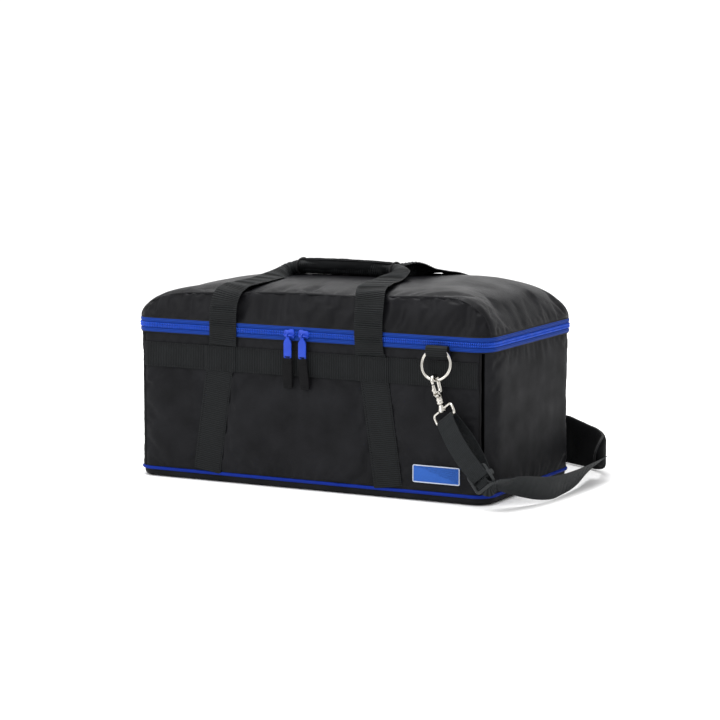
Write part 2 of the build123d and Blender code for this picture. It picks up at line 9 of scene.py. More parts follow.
import bmesh
import bpy
import numpy as np
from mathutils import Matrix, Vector


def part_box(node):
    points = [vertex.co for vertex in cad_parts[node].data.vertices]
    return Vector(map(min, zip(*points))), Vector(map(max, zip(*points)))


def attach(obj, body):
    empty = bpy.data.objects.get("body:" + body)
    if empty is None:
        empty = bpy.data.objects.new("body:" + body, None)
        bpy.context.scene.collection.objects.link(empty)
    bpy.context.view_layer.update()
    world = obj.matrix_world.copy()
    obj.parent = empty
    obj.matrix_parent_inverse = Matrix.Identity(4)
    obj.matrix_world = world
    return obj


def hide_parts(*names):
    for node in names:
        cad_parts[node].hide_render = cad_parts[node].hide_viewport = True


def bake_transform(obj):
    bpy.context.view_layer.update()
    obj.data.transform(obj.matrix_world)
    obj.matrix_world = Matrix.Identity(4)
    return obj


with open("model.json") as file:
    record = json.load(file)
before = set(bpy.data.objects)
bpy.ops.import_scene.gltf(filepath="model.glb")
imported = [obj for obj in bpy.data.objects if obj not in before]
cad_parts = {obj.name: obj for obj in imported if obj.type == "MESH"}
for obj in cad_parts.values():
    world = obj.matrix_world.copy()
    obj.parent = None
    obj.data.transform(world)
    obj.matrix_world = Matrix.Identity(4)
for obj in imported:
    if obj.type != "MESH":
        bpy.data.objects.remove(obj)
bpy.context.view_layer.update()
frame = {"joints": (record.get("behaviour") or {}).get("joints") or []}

MM = 0.001
TAU = 2 * math.pi
JOINT = {joint["name"]: joint for joint in frame["joints"]}

# ---------------------------------------------------------------- sizes, most of them from the frame
HALF_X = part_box("right_end_panel")[1].x
HALF_Y = -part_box("front_panel")[0].y
SEAM_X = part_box("front_panel")[1].x
END_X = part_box("right_end_panel")[0].x
FOOT_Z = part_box("front_panel")[0].z
RIM_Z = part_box("front_panel")[1].z
SILL_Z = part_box("upper_zipper_tape")[1].z
ZIP_Z = (RIM_Z + SILL_Z) / 2
LID_TOP_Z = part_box("lid_top_panel")[1].z
LID_SEAM_Y = 150 * MM
# lengths of the lid's rolled ends, left and right: at the front seam, on the crown and at the back seam
LID_ROLL = {-1: (104 * MM, 170 * MM, 100 * MM), 1: (75 * MM, 132 * MM, 138 * MM)}
LID_ROLL_Z = 60 * MM
# half width and rise of the lid's crown, in millimetres, which give its radius
CROWN_HALF_MM = 155
CROWN_RISE_MM = 13
CROWN_R = (CROWN_HALF_MM**2 + CROWN_RISE_MM**2) / (2 * CROWN_RISE_MM) * MM
CORNER_R = 30 * MM
WALL = 10 * MM
LID_WALL = 8 * MM
BACK_OPEN_X = 250 * MM
COIL_PITCH = 3.2 * MM
COIL_SHIFT = 1.9 * MM
BAND_Z = (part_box("front_band")[0].z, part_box("front_band")[1].z)
LOOP_TOP_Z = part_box("front_left_leg")[1].z
HANDLE_X = (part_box("front_handle_loop")[0].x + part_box("front_handle_loop")[1].x) / 2
LEG_FOOT_X = 166 * MM
LEG_RIM_X = 132 * MM
HANDLE_WIDTH = 50 * MM
WEBBING_THICK = 1.9 * MM
STRAP_WIDTH = 38 * MM
STRAP_WEAVE = {"thick": 1.7 * MM, "rib": 1.7 * MM, "relief": 0.08 * MM, "spacing": 0.8 * MM}
GRIP_LOW, GRIP_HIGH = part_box("handle_grip_pad")
GRIP_Z = (GRIP_LOW.z + GRIP_HIGH.z) / 2
GRIP_DEPTH = 20.5 * MM
GRIP_RISE = 12.6 * MM


# ---------------------------------------------------------------- numbers and points
def vec(values):
    return np.array(values, float)


def unit(v):
    v = np.asarray(v, float)
    return v / np.maximum(np.linalg.norm(v, axis=-1, keepdims=True), 1e-12)


def columns(*values):
    """Rows of numbers from arrays or single numbers, one for each column."""
    return np.stack(np.broadcast_arrays(*values), -1)


def at_height(plan, z):
    """Points (x, y) of a plan, lifted to a height."""
    return columns(plan[..., 0], plan[..., 1], z)


def lengths(points):
    """Distance along a line of points, from its start."""
    steps = np.linalg.norm(np.diff(points, axis=0), axis=1)
    return np.concatenate([[0], np.cumsum(steps)])


def resample(places, along, rows):
    """Rows of numbers at other places along them."""
    return np.stack([np.interp(places, along, column) for column in rows.T], 1)


def full_turn(count):
    return np.linspace(0, TAU, count, endpoint=False)


def ease(t):
    return t * t * (3 - 2 * t)


def step_up(value, start, end):
    """0 to 1 along a smooth step."""
    return ease(np.clip((np.asarray(value, float) - start) / (end - start), 0, 1))


def hermite(s):
    """Weights of a start, its slope, an end and its slope, at a share of the way between them."""
    return 2 * s**3 - 3 * s**2 + 1, s**3 - 2 * s**2 + s, 3 * s**2 - 2 * s**3, s**3 - s**2


# ---------------------------------------------------------------- materials
class Look:
    """A material in the making: values on its shader, and textures joined to the shader's sockets."""

    def __init__(self, name, color, roughness, metallic=0.0, sheen=0.0, specular=0.5):
        self.material = bpy.data.materials.new(name)
        self.material.use_nodes = True
        self.tree = self.material.node_tree
        self.shader = self.tree.nodes["Principled BSDF"]
        self.fill(self.shader, {
            "Base Color": (*color, 1),
            "Roughness": roughness,
            "Metallic": metallic,
            "Specular IOR Level": specular,
            "Sheen Weight": sheen,
            "Sheen Roughness": 0.45,
        })

    def fill(self, node, values):
        """Sets a node's sockets to numbers, or links them to the outputs of other nodes."""
        for socket, value in values.items():
            if isinstance(value, bpy.types.NodeSocket):
                self.tree.links.new(value, node.inputs[socket])
            else:
                node.inputs[socket].default_value = value
        return node

    def add(self, kind, values):
        return self.fill(self.tree.nodes.new(f"ShaderNode{kind}"), values)

    def coords(self, source, scale):
        """Texture coordinates, in metres, stretched by a scale along each axis."""
        place = self.add("TexCoord", {}).outputs[source]
        return self.add("Mapping", {"Vector": place, "Scale": scale}).outputs["Vector"]

    def noise(self, cycles, detail):
        """Noise with some cycles per metre."""
        vector = self.coords("Object", (cycles, cycles, cycles))
        values = {"Scale": 1.0, "Detail": detail, "Roughness": 0.5, "Vector": vector}
        return self.add("TexNoise", values).outputs["Fac"]

    def ribs(self, pitch, axis):
        """Even ribs, one for each pitch."""
        vector = self.coords("UV", (1 / pitch, 1 / pitch, 1))
        texture = self.add("TexWave", {"Scale": TAU / 20, "Distortion": 0.0, "Vector": vector})
        texture.bands_direction = axis
        return texture.outputs["Fac"]

    def ramp(self, fac, low, high, start=0.3, end=0.7):
        """Blends two colours along a factor."""
        blend = self.add("ValToRGB", {"Fac": fac})
        for stop, position, color in zip(blend.color_ramp.elements, (start, end), (low, high)):
            stop.position = position
            stop.color = (*color, 1)
        return blend.outputs["Color"]

    def spread(self, fac, low, high):
        """Maps the middle half of a factor to a range."""
        values = {"From Min": 0.25, "From Max": 0.75, "To Min": low, "To Max": high, "Value": fac}
        return self.add("MapRange", values).outputs["Result"]

    def product(self, a, b):
        times = self.add("Math", {0: a, 1: b})
        times.operation = "MULTIPLY"
        return times.outputs["Value"]

    def bump(self, height, distance, strength=1.0, under=None):
        """Bump of a real height, on top of another bump if one is given."""
        values = {"Distance": distance, "Strength": strength, "Height": height}
        if under is not None:
            values["Normal"] = under
        return self.add("Bump", values).outputs["Normal"]

    def done(self, **sockets):
        """Joins textures to the shader, and gives the finished material."""
        names = {"color": "Base Color", "roughness": "Roughness", "normal": "Normal"}
        self.fill(self.shader, {names[key]: value for key, value in sockets.items()})
        return self.material


def shade(color, factor):
    return tuple(min(1, factor * c) for c in color)


def nylon(name, color, pitch=1.1 * MM, gloss=0.62, specular=0.07):
    """Plain woven nylon: a fine weave, slow changes of tone, and fine creases."""
    look = Look(name, color, gloss, specular=specular)
    weave = look.product(look.ribs(pitch, "X"), look.ribs(pitch, "Y"))
    cloud = look.noise(22, 4)
    fine = look.bump(weave, 0.12 * MM, 0.7)
    return look.done(color=look.ramp(cloud, shade(color, 0.72), shade(color, 1.3)),
                     roughness=look.spread(cloud, gloss + 0.08, gloss - 0.08),
                     normal=look.bump(look.noise(160, 3), 0.25 * MM, 0.4, fine))


def webbing_cloth(name, color, rib):
    """Ribbed webbing: ribs across its length, fine yarns along it, and painted highlights on the rib crowns
    with painted shade in the hollows between them.
    """
    look = Look(name, color, 0.55, sheen=0.01, specular=0.11)
    ribs = look.ribs(rib, "Y")
    # painted highlight on the rib crowns and painted shade in the hollows between ribs, varied by a slow
    # random tone
    rib_highlight_and_shade = look.product(ribs, look.spread(look.noise(60, 4), 0.75, 1.15))
    fine = look.bump(look.ribs(1.2 * MM, "X"), 0.1 * MM, 0.6)
    return look.done(color=look.ramp(rib_highlight_and_shade, shade(color, 0.35), shade(color, 1.6), 0.1, 0.9),
                     normal=look.bump(ribs, 0.6 * MM, 1.0, fine))


def tape_cloth(name, color):
    """Zipper tape: a close twill with darker lines along it."""
    look = Look(name, color, 0.6, specular=0.08)
    lines = look.ribs(2.4 * MM, "X")
    fine = look.bump(look.ribs(1.1 * MM, "DIAGONAL"), 0.08 * MM, 0.6)
    return look.done(color=look.ramp(lines, shade(color, 0.5), shade(color, 1.35), 0.0, 0.6),
                     normal=look.bump(lines, 0.3 * MM, 0.6, fine))


def plain(name, color, roughness, grain=400.0, depth=0.05 * MM, **values):
    """Moulded, enamelled or plated surface: fine grain, and roughness that changes a little."""
    look = Look(name, color, roughness, **values)
    cloud = look.noise(90, 4)
    return look.done(color=look.ramp(cloud, shade(color, 0.85), color),
                     roughness=look.spread(cloud, roughness * 0.8, roughness * 1.25),
                     normal=look.bump(look.noise(grain, 3), depth, 0.5))


SHELL = nylon("shell_nylon", (0.0056, 0.0057, 0.0068), specular=0.09)
LID_CLOTH = nylon("lid_nylon", (0.0040, 0.0040, 0.0050), gloss=0.45, specular=0.10)
LINING = nylon("lining_cloth", (0.03, 0.03, 0.034), pitch=1.6 * MM, gloss=0.75)
WEBBING = webbing_cloth("ribbed_webbing", (0.0054, 0.0062, 0.0068), rib=3.2 * MM)
STRAP = webbing_cloth("strap_webbing", (0.0112, 0.0128, 0.0138), rib=1.9 * MM)
BINDING = webbing_cloth("binding_tape", (0.0062, 0.0062, 0.007), rib=1.4 * MM)
PAD = nylon("pad_cloth", (0.0026, 0.0028, 0.0031), pitch=1.8 * MM, gloss=0.9, specular=0.035)
TAPE = tape_cloth("zip_tape_cloth", (0.0042, 0.026, 0.175))
COIL = plain("zip_coil", (0.012, 0.075, 0.52), 0.4, specular=0.3)
PIPING = plain("piping_cloth", (0.003, 0.018, 0.20), 0.6, grain=900, depth=0.2 * MM, specular=0.08)
ENAMEL = plain("blue_enamel", (0.005, 0.040, 0.40), 0.36, specular=0.3)
RUBBER = plain("pull_rubber", (0.0045, 0.0045, 0.005), 0.7, grain=700, depth=0.08 * MM, specular=0.08)
NICKEL = plain("bright_nickel", (0.52, 0.50, 0.46), 0.13, metallic=1.0, depth=0.02 * MM)
ACETAL = plain("grained_acetal", (0.014, 0.016, 0.017), 0.5, grain=1100, depth=0.06 * MM, specular=0.25)
BOARD = plain("stiffener_board", (0.03, 0.03, 0.032), 0.8, grain=500, depth=0.1 * MM)
THREAD = plain("black_thread", (0.008, 0.008, 0.009), 0.6, grain=1500, specular=0.1)
PATCH = tape_cloth("patch_cloth", (0.024, 0.085, 0.33))
PATCH_EDGE = plain("patch_edge", (0.42, 0.46, 0.55), 0.6, grain=1200, depth=0.15 * MM, sheen=0.3)


# ---------------------------------------------------------------- mesh building
def lattice(rows, cols, start=0, wrap=False, loop=False):
    """Quads of a lattice of points; wrap closes each row on itself, loop joins the last row to the first."""
    faces = []
    for r in range(rows if loop else rows - 1):
        for c in range(cols if wrap else cols - 1):
            a = start + r * cols + c
            b = start + r * cols + (c + 1) % cols
            up = start + ((r + 1) % rows) * cols
            faces.append((a, b, up + (c + 1) % cols, up + c))
    return faces


def sweep(rings, loop=False):
    """Closed skin over rings of points (ring, point, xyz), capped unless the rings form a loop."""
    rows, cols = rings.shape[:2]
    faces = lattice(rows, cols, wrap=True, loop=loop)
    if not loop:
        faces.append(tuple(range(cols)))
        faces.append(tuple((rows - 1) * cols + c for c in reversed(range(cols))))
    around = lengths(rings[rows // 2])
    along = lengths(rings.mean(1))
    return rings.reshape(-1, 3), faces, columns(around[None, :], along[:, None]).reshape(-1, 2)


def slab(outer, inner):
    """Closed panel between two lattices of points."""
    rows, cols = outer.shape[:2]
    count = rows * cols
    faces = lattice(rows, cols) + [tuple(reversed(face)) for face in lattice(rows, cols, start=count)]
    edge = list(range(cols))
    edge += [r * cols + cols - 1 for r in range(1, rows)]
    edge += [(rows - 1) * cols + c for c in reversed(range(cols - 1))]
    edge += [r * cols for r in reversed(range(1, rows - 1))]
    for a, b in zip(edge, edge[1:] + edge[:1]):
        faces.append((b, a, a + count, b + count))
    across = lengths(outer[rows // 2])
    along = lengths(outer[:, cols // 2])
    uv = columns(across[None, :], along[:, None]).reshape(-1, 2)
    return np.concatenate([outer.reshape(-1, 3), inner.reshape(-1, 3)]), faces, np.concatenate([uv, uv])


def merged(parts):
    """Several (points, faces, uv) as one."""
    verts, faces, uvs, start = [], [], [], 0
    for v, f, uv in parts:
        verts.append(v)
        uvs.append(uv)
        faces += [tuple(start + i for i in face) for face in f]
        start += len(v)
    return np.concatenate(verts), faces, np.concatenate(uvs)


def mirrored(shape):
    """The rear twin of a front piece: mirrored front to back."""
    verts, faces, uv = shape
    return verts * vec([1, -1, 1]), [tuple(reversed(face)) for face in faces], uv


def link(name, data):
    """A new object in the scene."""
    obj = bpy.data.objects.new(name, data)
    bpy.context.scene.collection.objects.link(obj)
    return obj


def piece(name, shape, material, body, nodes=(), inside=None):
    """Makes a piece from (points, faces, uv) that rides on a body and stands for CAD nodes.

    inside is another material and the first point of the part of the piece that wears it.
    """
    verts, faces, uv = shape
    mesh = bpy.data.meshes.new(name)
    mesh.from_pydata(np.asarray(verts, float).tolist(), [], faces)
    corner = np.empty(len(mesh.loops), int)
    mesh.loops.foreach_get("vertex_index", corner)
    mesh.uv_layers.new(name="UVMap").data.foreach_set("uv", uv[corner].ravel())
    mesh.materials.append(material)
    if inside is not None:
        inner_material, first_inner = inside
        mesh.materials.append(inner_material)
        for polygon in mesh.polygons:
            if min(polygon.vertices) >= first_inner:
                polygon.material_index = 1
    work = bmesh.new()
    work.from_mesh(mesh)
    bmesh.ops.recalc_face_normals(work, faces=work.faces)
    work.to_mesh(mesh)
    work.free()
    mesh.polygons.foreach_set("use_smooth", [True] * len(mesh.polygons))
    mesh.set_sharp_from_angle(angle=math.radians(42))
    obj = link(name, mesh)
    if body:
        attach(obj, body)
    if nodes:
        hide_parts(*nodes)
    return obj


# ---------------------------------------------------------------- curves, tubes and webbing
def smooth(stations, spacing, loop=False):
    """Even samples of a smooth curve through rows of values, whose first three are a point."""
    rows = np.asarray(stations, float)
    if loop:
        rows = np.concatenate([rows[-1:], rows, rows[:2]])
    t = lengths(rows[:, :3])
    slope = np.gradient(rows, t, axis=0)
    first, last = (1, len(rows) - 2) if loop else (0, len(rows) - 1)
    weights = np.hstack(hermite(np.linspace(0, 1, 24, endpoint=False)[:, None]))
    out = []
    for i in range(first, last):
        step = t[i + 1] - t[i]
        out.append(weights @ np.stack([rows[i], slope[i] * step, rows[i + 1], slope[i + 1] * step]))
    out = np.concatenate(out + [rows[last:last + 1]])
    along = lengths(out[:, :3])
    even = np.linspace(0, along[-1], max(2, round(along[-1] / spacing)) + 1)
    return resample(even[:-1] if loop else even, along, out)


def directions(points, loop=False):
    """Unit tangents along a line of points."""
    if loop:
        return unit(np.roll(points, -1, 0) - np.roll(points, 1, 0))
    return unit(np.gradient(points, axis=0))


def carried_frame(points, loop=False, start=(0, 0, 1)):
    """Two directions square to a path, carried along it without twist."""
    tangent = directions(points, loop)
    side = np.empty_like(points)
    last = vec(start)
    for i, t in enumerate(tangent):
        last = last - t * last.dot(t)
        if np.linalg.norm(last) < 1e-6:
            last = np.cross(t, vec([0.3, 0.5, 0.8]))
        last = unit(last)
        side[i] = last
    return side, np.cross(tangent, side)


def tube(points, radius, sides=8, loop=False, start=(0, 0, 1), flat=1.0):
    """Tube along points. radius may change along it, and flat squeezes it along the carried side."""
    points = np.asarray(points, float)
    side, other = carried_frame(points, loop, start)
    radius = np.broadcast_to(radius, len(points))[:, None, None]
    turn = full_turn(sides)
    ring = side[:, None, :] * np.cos(turn)[None, :, None] * flat
    ring = ring + other[:, None, :] * np.sin(turn)[None, :, None]
    return sweep(points[:, None, :] + ring * radius, loop)


def ribbon(stations, spacing=0.9 * MM, thick=WEBBING_THICK, rib=3.2 * MM, relief=0.2 * MM, across=7):
    """Ribbed webbing through (x, y, z, across x, y, z, width, curl) stations.

    curl is the turn, in radians, that its width is rolled through.
    """
    rows = smooth(stations, spacing)
    points, side, width, curl = rows[:, :3], rows[:, 3:6], rows[:, 6], rows[:, 7]
    tangent = directions(points)
    side = unit(side - tangent * (side * tangent).sum(1, keepdims=True))
    normal = np.cross(side, tangent)
    a = np.linspace(-1, 1, across)
    angle = a[None, :] * curl[:, None] / 2
    flat = np.abs(curl) < 1e-3
    radius = width / np.where(flat, 1, curl)
    x = np.where(flat[:, None], a[None, :] * width[:, None] / 2, radius[:, None] * np.sin(angle))
    h = np.where(flat[:, None], 0, radius[:, None] * (1 - np.cos(angle)))
    edge = (np.abs(a) > 0.95)[None, :]
    ridge = relief * np.cos(TAU * lengths(points) / rib)[:, None] * np.where(edge, 0.2, 1)
    half = thick / 2 + ridge - np.where(edge, thick * 0.2, 0)

    def face(sign):
        px = x + sign * -np.sin(angle) * half
        ph = h + sign * np.cos(angle) * half
        return points[:, None] + px[..., None] * side[:, None] + ph[..., None] * normal[:, None]

    return sweep(np.concatenate([face(1), face(-1)[:, ::-1]], 1))


def stitch_line(points, pitch=4.4 * MM, stitch=3.0 * MM, radius=0.38 * MM):
    """A row of short raised stitches along a line of points."""
    points = np.asarray(points, float)
    along = lengths(points)
    parts = []
    for start in np.arange(pitch / 2, along[-1] - stitch, pitch):
        line = resample(start + np.linspace(0, stitch, 4), along, points)
        parts.append(tube(line, radius * vec([0.4, 1, 1, 0.4]), 5, start=(0.3, 0.2, 1)))
    return merged(parts)


def rounded_rect(width, height, radius, per_corner=6):
    """Outline of a rounded rectangle, anticlockwise."""
    turn = np.linspace(0, math.pi / 2, per_corner)
    corners = []
    for k, (sx, sy) in enumerate(((1, 1), (-1, 1), (-1, -1), (1, -1))):
        centre = vec([sx * (width / 2 - radius), sy * (height / 2 - radius)])
        angle = turn + k * math.pi / 2
        corners.append(centre + radius * columns(np.cos(angle), np.sin(angle)))
    return np.concatenate(corners)


def plate(centre, right, up, width, height, thick, radius, bevel=0.5 * MM, dome=0.0):
    """Flat plate with rounded corners and bevelled edges, standing square to right and up."""
    centre, right, up = vec(centre), unit(vec(right)), unit(vec(up))
    out = np.cross(right, up)
    rings = []
    for sign, inset in ((-1, 1.0), (-1, 0.3), (-1, 0.0), (1, 0.0), (1, 0.3), (1, 1.0)):
        b = bevel * inset
        edge = rounded_rect(width - 2 * b, height - 2 * b, max(radius - b, 0.1 * MM))
        depth = sign * (thick / 2 - bevel * (1 - math.sqrt(max(0.0, 1 - (1 - inset) ** 2))))
        rings.append(centre + edge[:, :1] * right + edge[:, 1:] * up + depth * out)
    if dome:
        edge = rounded_rect(width * 0.55, height * 0.55, radius * 0.55)
        rings.append(centre + edge[:, :1] * right + edge[:, 1:] * up + (thick / 2 + dome) * out)
    return sweep(np.stack(rings))


def lathe(centre, axis, profile, sides=24):
    """Turned solid: (height, radius) profile, in millimetres, about an axis through a point."""
    axis = unit(vec(axis))
    side = unit(np.cross(axis, vec([0.2, 1, 0.1])))
    turn = full_turn(sides)
    ring = np.cos(turn)[:, None] * side + np.sin(turn)[:, None] * np.cross(axis, side)
    return sweep(np.stack([vec(centre) + h * MM * axis + r * MM * ring for h, r in profile]))


# ---------------------------------------------------------------- the bag's plan outline
def outline(spacing, open_x=0.0):
    """Points and outward normals round the bag's plan, from the middle or one side of the back."""
    straight = vec([HALF_X - CORNER_R, HALF_Y - CORNER_R])
    points = [vec([-open_x, HALF_Y])]
    normals = [vec([0, 1])]
    for sx, sy, first in ((-1, 1, 90), (-1, -1, 180), (1, -1, 270), (1, 1, 0)):
        for angle in np.radians(np.linspace(first, first + 90, 13)):
            normals.append(vec([math.cos(angle), math.sin(angle)]))
            points.append(vec([sx, sy]) * straight + CORNER_R * normals[-1])
    points = np.stack(points + [vec([open_x, HALF_Y])])
    normals = np.stack(normals + [vec([0, 1])])
    along = lengths(points)
    even = np.linspace(0, along[-1], round(along[-1] / spacing) + 1)
    if open_x == 0:
        even = even[:-1]
    return resample(even, along, points), unit(resample(even, along, normals))


def round_rim(section, open_x=0.0):
    """Sweeps a closed (outward, z) section round the bag."""
    points, normals = outline(4 * MM, open_x)
    section = np.asarray(section, float)
    plan = points[:, None, :] + normals[:, None, :] * section[None, :, :1]
    return sweep(at_height(plan, section[None, :, 1]), loop=open_x == 0)


def oval(x, y, radius_x, radius_y):
    """Oval section of twelve points."""
    turn = full_turn(12)
    return columns(x + radius_x * np.cos(turn), y + radius_y * np.sin(turn))


def corner_reach(along, half):
    """How far the plan stands beyond its straight sides, at a distance from the middle of one side."""
    into = np.clip(np.abs(along) - (half - CORNER_R), 0, CORNER_R)
    return into, np.sqrt(CORNER_R**2 - into**2)


def front_plan(x):
    """Y of the front of the bag's plan at some x, and the outward normals there."""
    into, reach = corner_reach(x, HALF_X)
    return -(HALF_Y - CORNER_R + reach), columns(np.sign(x) * into, -reach) / CORNER_R


def end_x(y):
    """Half length of the bag's plan at a distance across it."""
    return HALF_X - CORNER_R + corner_reach(y, HALF_Y)[1]


# ---------------------------------------------------------------- soft panels
def value_noise(u, v, seed):
    """Smooth noise in -1..1 over two arrays of coordinates, one cell per unit."""
    table = np.random.default_rng(seed).uniform(-1, 1, (64, 64))
    iu, iv = np.floor(u).astype(int), np.floor(v).astype(int)
    fu, fv = ease(u - iu), ease(v - iv)

    def row(dv):
        return table[iu % 64, (iv + dv) % 64] * (1 - fu) + table[(iu + 1) % 64, (iv + dv) % 64] * fu

    return row(0) * (1 - fv) + row(1) * fv


def grid_normals(grid):
    """Unit normals of a lattice of points, from its rows and columns."""
    return unit(np.cross(np.gradient(grid, axis=1), np.gradient(grid, axis=0)))


def refine(grid):
    """A lattice with a point added between each two old ones, on smooth curves."""
    for axis in (0, 1):
        grid = np.moveaxis(grid, axis, 0)
        slope = np.gradient(grid, axis=0)
        rows = []
        for s in (0.0, 0.5):
            h = hermite(s)
            rows.append(h[0] * grid[:-1] + h[1] * slope[:-1] + h[2] * grid[1:] + h[3] * slope[1:])
        mixed = np.stack(rows, 1).reshape(-1, *grid.shape[1:])
        grid = np.moveaxis(np.concatenate([mixed, grid[-1:]]), 0, axis)
    return grid


CLOTH_FRAMES = 22
CLOTH = {
    "quality": 5, "mass": 0.25, "tension_stiffness": 12, "compression_stiffness": 12, "shear_stiffness": 4,
    "bending_stiffness": 0.6, "air_damping": 4, "vertex_group_mass": "held", "use_pressure": True,
}


def simulate(name, grid, held, pressure, growth, cap):
    """Cloth simulation of a sewn panel: held points stay, and slack cloth puffs and buckles between them."""
    mesh = bpy.data.meshes.new(f"{name}_slack")
    mesh.from_pydata(grid.reshape(-1, 3).tolist(), [], lattice(*grid.shape[:2]))
    obj = link(f"{name}_slack", mesh)
    pins = obj.vertex_groups.new(name="held")
    pins.add([int(i) for i in np.flatnonzero(held.ravel())], 1.0, "REPLACE")
    cloth = obj.modifiers.new("cloth", "CLOTH")
    for key, value in CLOTH.items():
        setattr(cloth.settings, key, value)
    cloth.settings.shrink_min = -growth
    cloth.settings.uniform_pressure_force = pressure
    cloth.settings.effector_weights.gravity = 0
    cloth.collision_settings.use_collision = False
    cloth.point_cache.frame_start = 1
    cloth.point_cache.frame_end = CLOTH_FRAMES
    scene = bpy.context.scene
    for number in range(1, CLOTH_FRAMES + 1):
        scene.frame_set(number)
    evaluated = obj.evaluated_get(bpy.context.evaluated_depsgraph_get())
    moved = np.empty(grid.size)
    evaluated.data.vertices.foreach_get("co", moved)
    bpy.data.objects.remove(obj)
    bpy.data.meshes.remove(mesh)
    scene.frame_set(1)
    step = moved.reshape(grid.shape) - grid
    size = np.linalg.norm(step, axis=-1, keepdims=True)
    limit = cap * np.tanh(size / cap)
    return grid + step * limit / np.maximum(size, 1e-9)


def puckers(grid, seed, size, reach=22 * MM):
    """Small gathers where a panel runs into its seams, and a faint crumple all over."""
    rows, cols = grid.shape[:2]
    width = lengths(grid[rows // 2])[-1]
    height = lengths(grid[:, cols // 2])[-1]
    v, u = np.meshgrid(np.linspace(0, height, rows), np.linspace(0, width, cols), indexing="ij")
    near_row = np.minimum(v, height - v)
    near_col = np.minimum(u, width - u)
    gather = value_noise(u / (15 * MM), v / (60 * MM), seed) * np.exp(-near_row / reach)
    gather = gather + value_noise(u / (60 * MM), v / (15 * MM), seed + 1) * np.exp(-near_col / reach)
    crumple = value_noise(u / (38 * MM), v / (38 * MM), seed + 2)
    crumple = crumple + 0.5 * value_noise(u / (17 * MM), v / (17 * MM), seed + 3)
    fade = np.clip(np.minimum(near_row, near_col) / (5 * MM), 0, 1)
    lift = size * (gather + 0.8 * crumple) * fade
    return grid + lift[..., None] * grid_normals(grid)


def panel(name, base, out, depth, body, material, seed, cap, pressure, growth, held=False,
          crumple=0.5 * MM, node=None):
    """Padded panel: its outer cloth is simulated between its seams, and its back is plain lining."""
    pinned = np.ones(base.shape[:2], bool)
    pinned[1:-1, 1:-1] = False
    skin = simulate(name, base, pinned | held, pressure, growth, cap)
    skin = puckers(refine(skin), seed, crumple)
    shape = slab(skin, refine(base - depth * out))
    lining = (LINING, skin.shape[0] * skin.shape[1])
    obj = piece(f"{name}_cloth", shape, material, body, [node or name], inside=lining)


# ---------------------------------------------------------------- body of the bag
def leg_centre(side, z):
    """X of a handle leg's middle at a height."""
    slope = (LEG_FOOT_X - LEG_RIM_X) / (ZIP_Z - FOOT_Z)
    return HANDLE_X + side * (LEG_RIM_X + slope * (ZIP_Z - z))


def build_walls():
    """Front and back panels sewn down under their webbing, and the two end panels."""
    z = np.linspace(FOOT_Z, RIM_Z, 37)
    zz, xx = np.meshgrid(z, np.linspace(-SEAM_X, SEAM_X, 91), indexing="ij")
    yy, normals = front_plan(xx)
    patch_low, patch_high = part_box("label_patch")
    for name, face, seed in (("front_panel", -1, 3), ("back_panel", 1, 11)):
        base = columns(xx, -face * yy, zz)
        out = columns(normals[..., 0], -face * normals[..., 1], 0.0)
        sewn = (zz > BAND_Z[0] - 2 * MM) & (zz < BAND_Z[1] + 2 * MM)
        for side in (-1, 1):
            sewn |= np.abs(xx - leg_centre(side, zz)) < HANDLE_WIDTH / 2 + 1 * MM
        if face < 0:
            inside_x = (xx > patch_low.x - 4 * MM) & (xx < patch_high.x + 4 * MM)
            sewn |= inside_x & (zz > patch_low.z - 4 * MM) & (zz < patch_high.z + 4 * MM)
        else:
            base, out, sewn = base[:, ::-1], out[:, ::-1], sewn[:, ::-1]
        panel(name, base, out, WALL, "bag_body", SHELL, seed, 6 * MM, pressure=2.6, growth=0.022, held=sewn)

    points, normals = outline(6.2 * MM)
    for name, side in (("left_end_panel", -1), ("right_end_panel", 1)):
        chosen = side * points[:, 0] > END_X
        base = at_height(points[chosen], z[:, None])
        out = at_height(normals[chosen], 0 * z[:, None])
        panel(name, base, out, WALL, "bag_body", SHELL, 20 + side, 4 * MM, pressure=1.6, growth=0.008,
              crumple=0.25 * MM)


def build_base():
    """Boot of the bag with its rounded lower edge, the blue piping round it, and the inner board."""
    # outward from the wall and height, in millimetres
    profile = ((-60, 0.0), (-12, 0.0), (-8, 0.4), (-4.6, 1.8), (-2.6, 4.2), (-2.0, 7.5), (-2.2, 11.2),
               (-5.0, 11.6), (-5.0, 17.0))
    points, normals = outline(6 * MM)
    rings = np.stack([at_height(points + grow * MM * normals, z * MM) for grow, z in profile])
    piece("base_boot", sweep(rings), SHELL, "bag_body", ["base_panel"])
    cord = round_rim(oval(-0.6 * MM, 14 * MM, 2.7 * MM, 2.8 * MM))
    piece("blue_base_piping", cord, PIPING, "bag_body", ["base_piping"])
    low, high = (vec(corner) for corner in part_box("base_board"))
    board = plate((low + high) / 2, (1, 0, 0), (0, 1, 0), *(high - low), 16 * MM)
    piece("inner_base_board", board, BOARD, "bag_body", ["base_board"])


def build_welts():
    """Bound seams up the four corners of the body, inside and outside."""
    z = np.linspace(FOOT_Z, RIM_Z, 40)
    parts = []
    for sx in (-1, 1):
        x = sx * (SEAM_X + END_X) / 2
        y, out = front_plan(np.full_like(z, x))
        for sy in (-1, 1):
            wobble = 0.25 * MM * np.sin(z * 140 + sx * 2 + sy)
            line = columns(x + wobble, -sy * y - sy * 0.3 * MM, z)
            inward = -columns(out[:, 0], -sy * out[:, 1], 0.0)
            parts.append(tube(line, 1.7 * MM))
            for depth in (4.4 * MM, 7.6 * MM):
                parts.append(tube(line + inward * depth, 1.9 * MM))
    piece("corner_bindings", merged(parts), BINDING, "bag_body", ["corner_welts"])


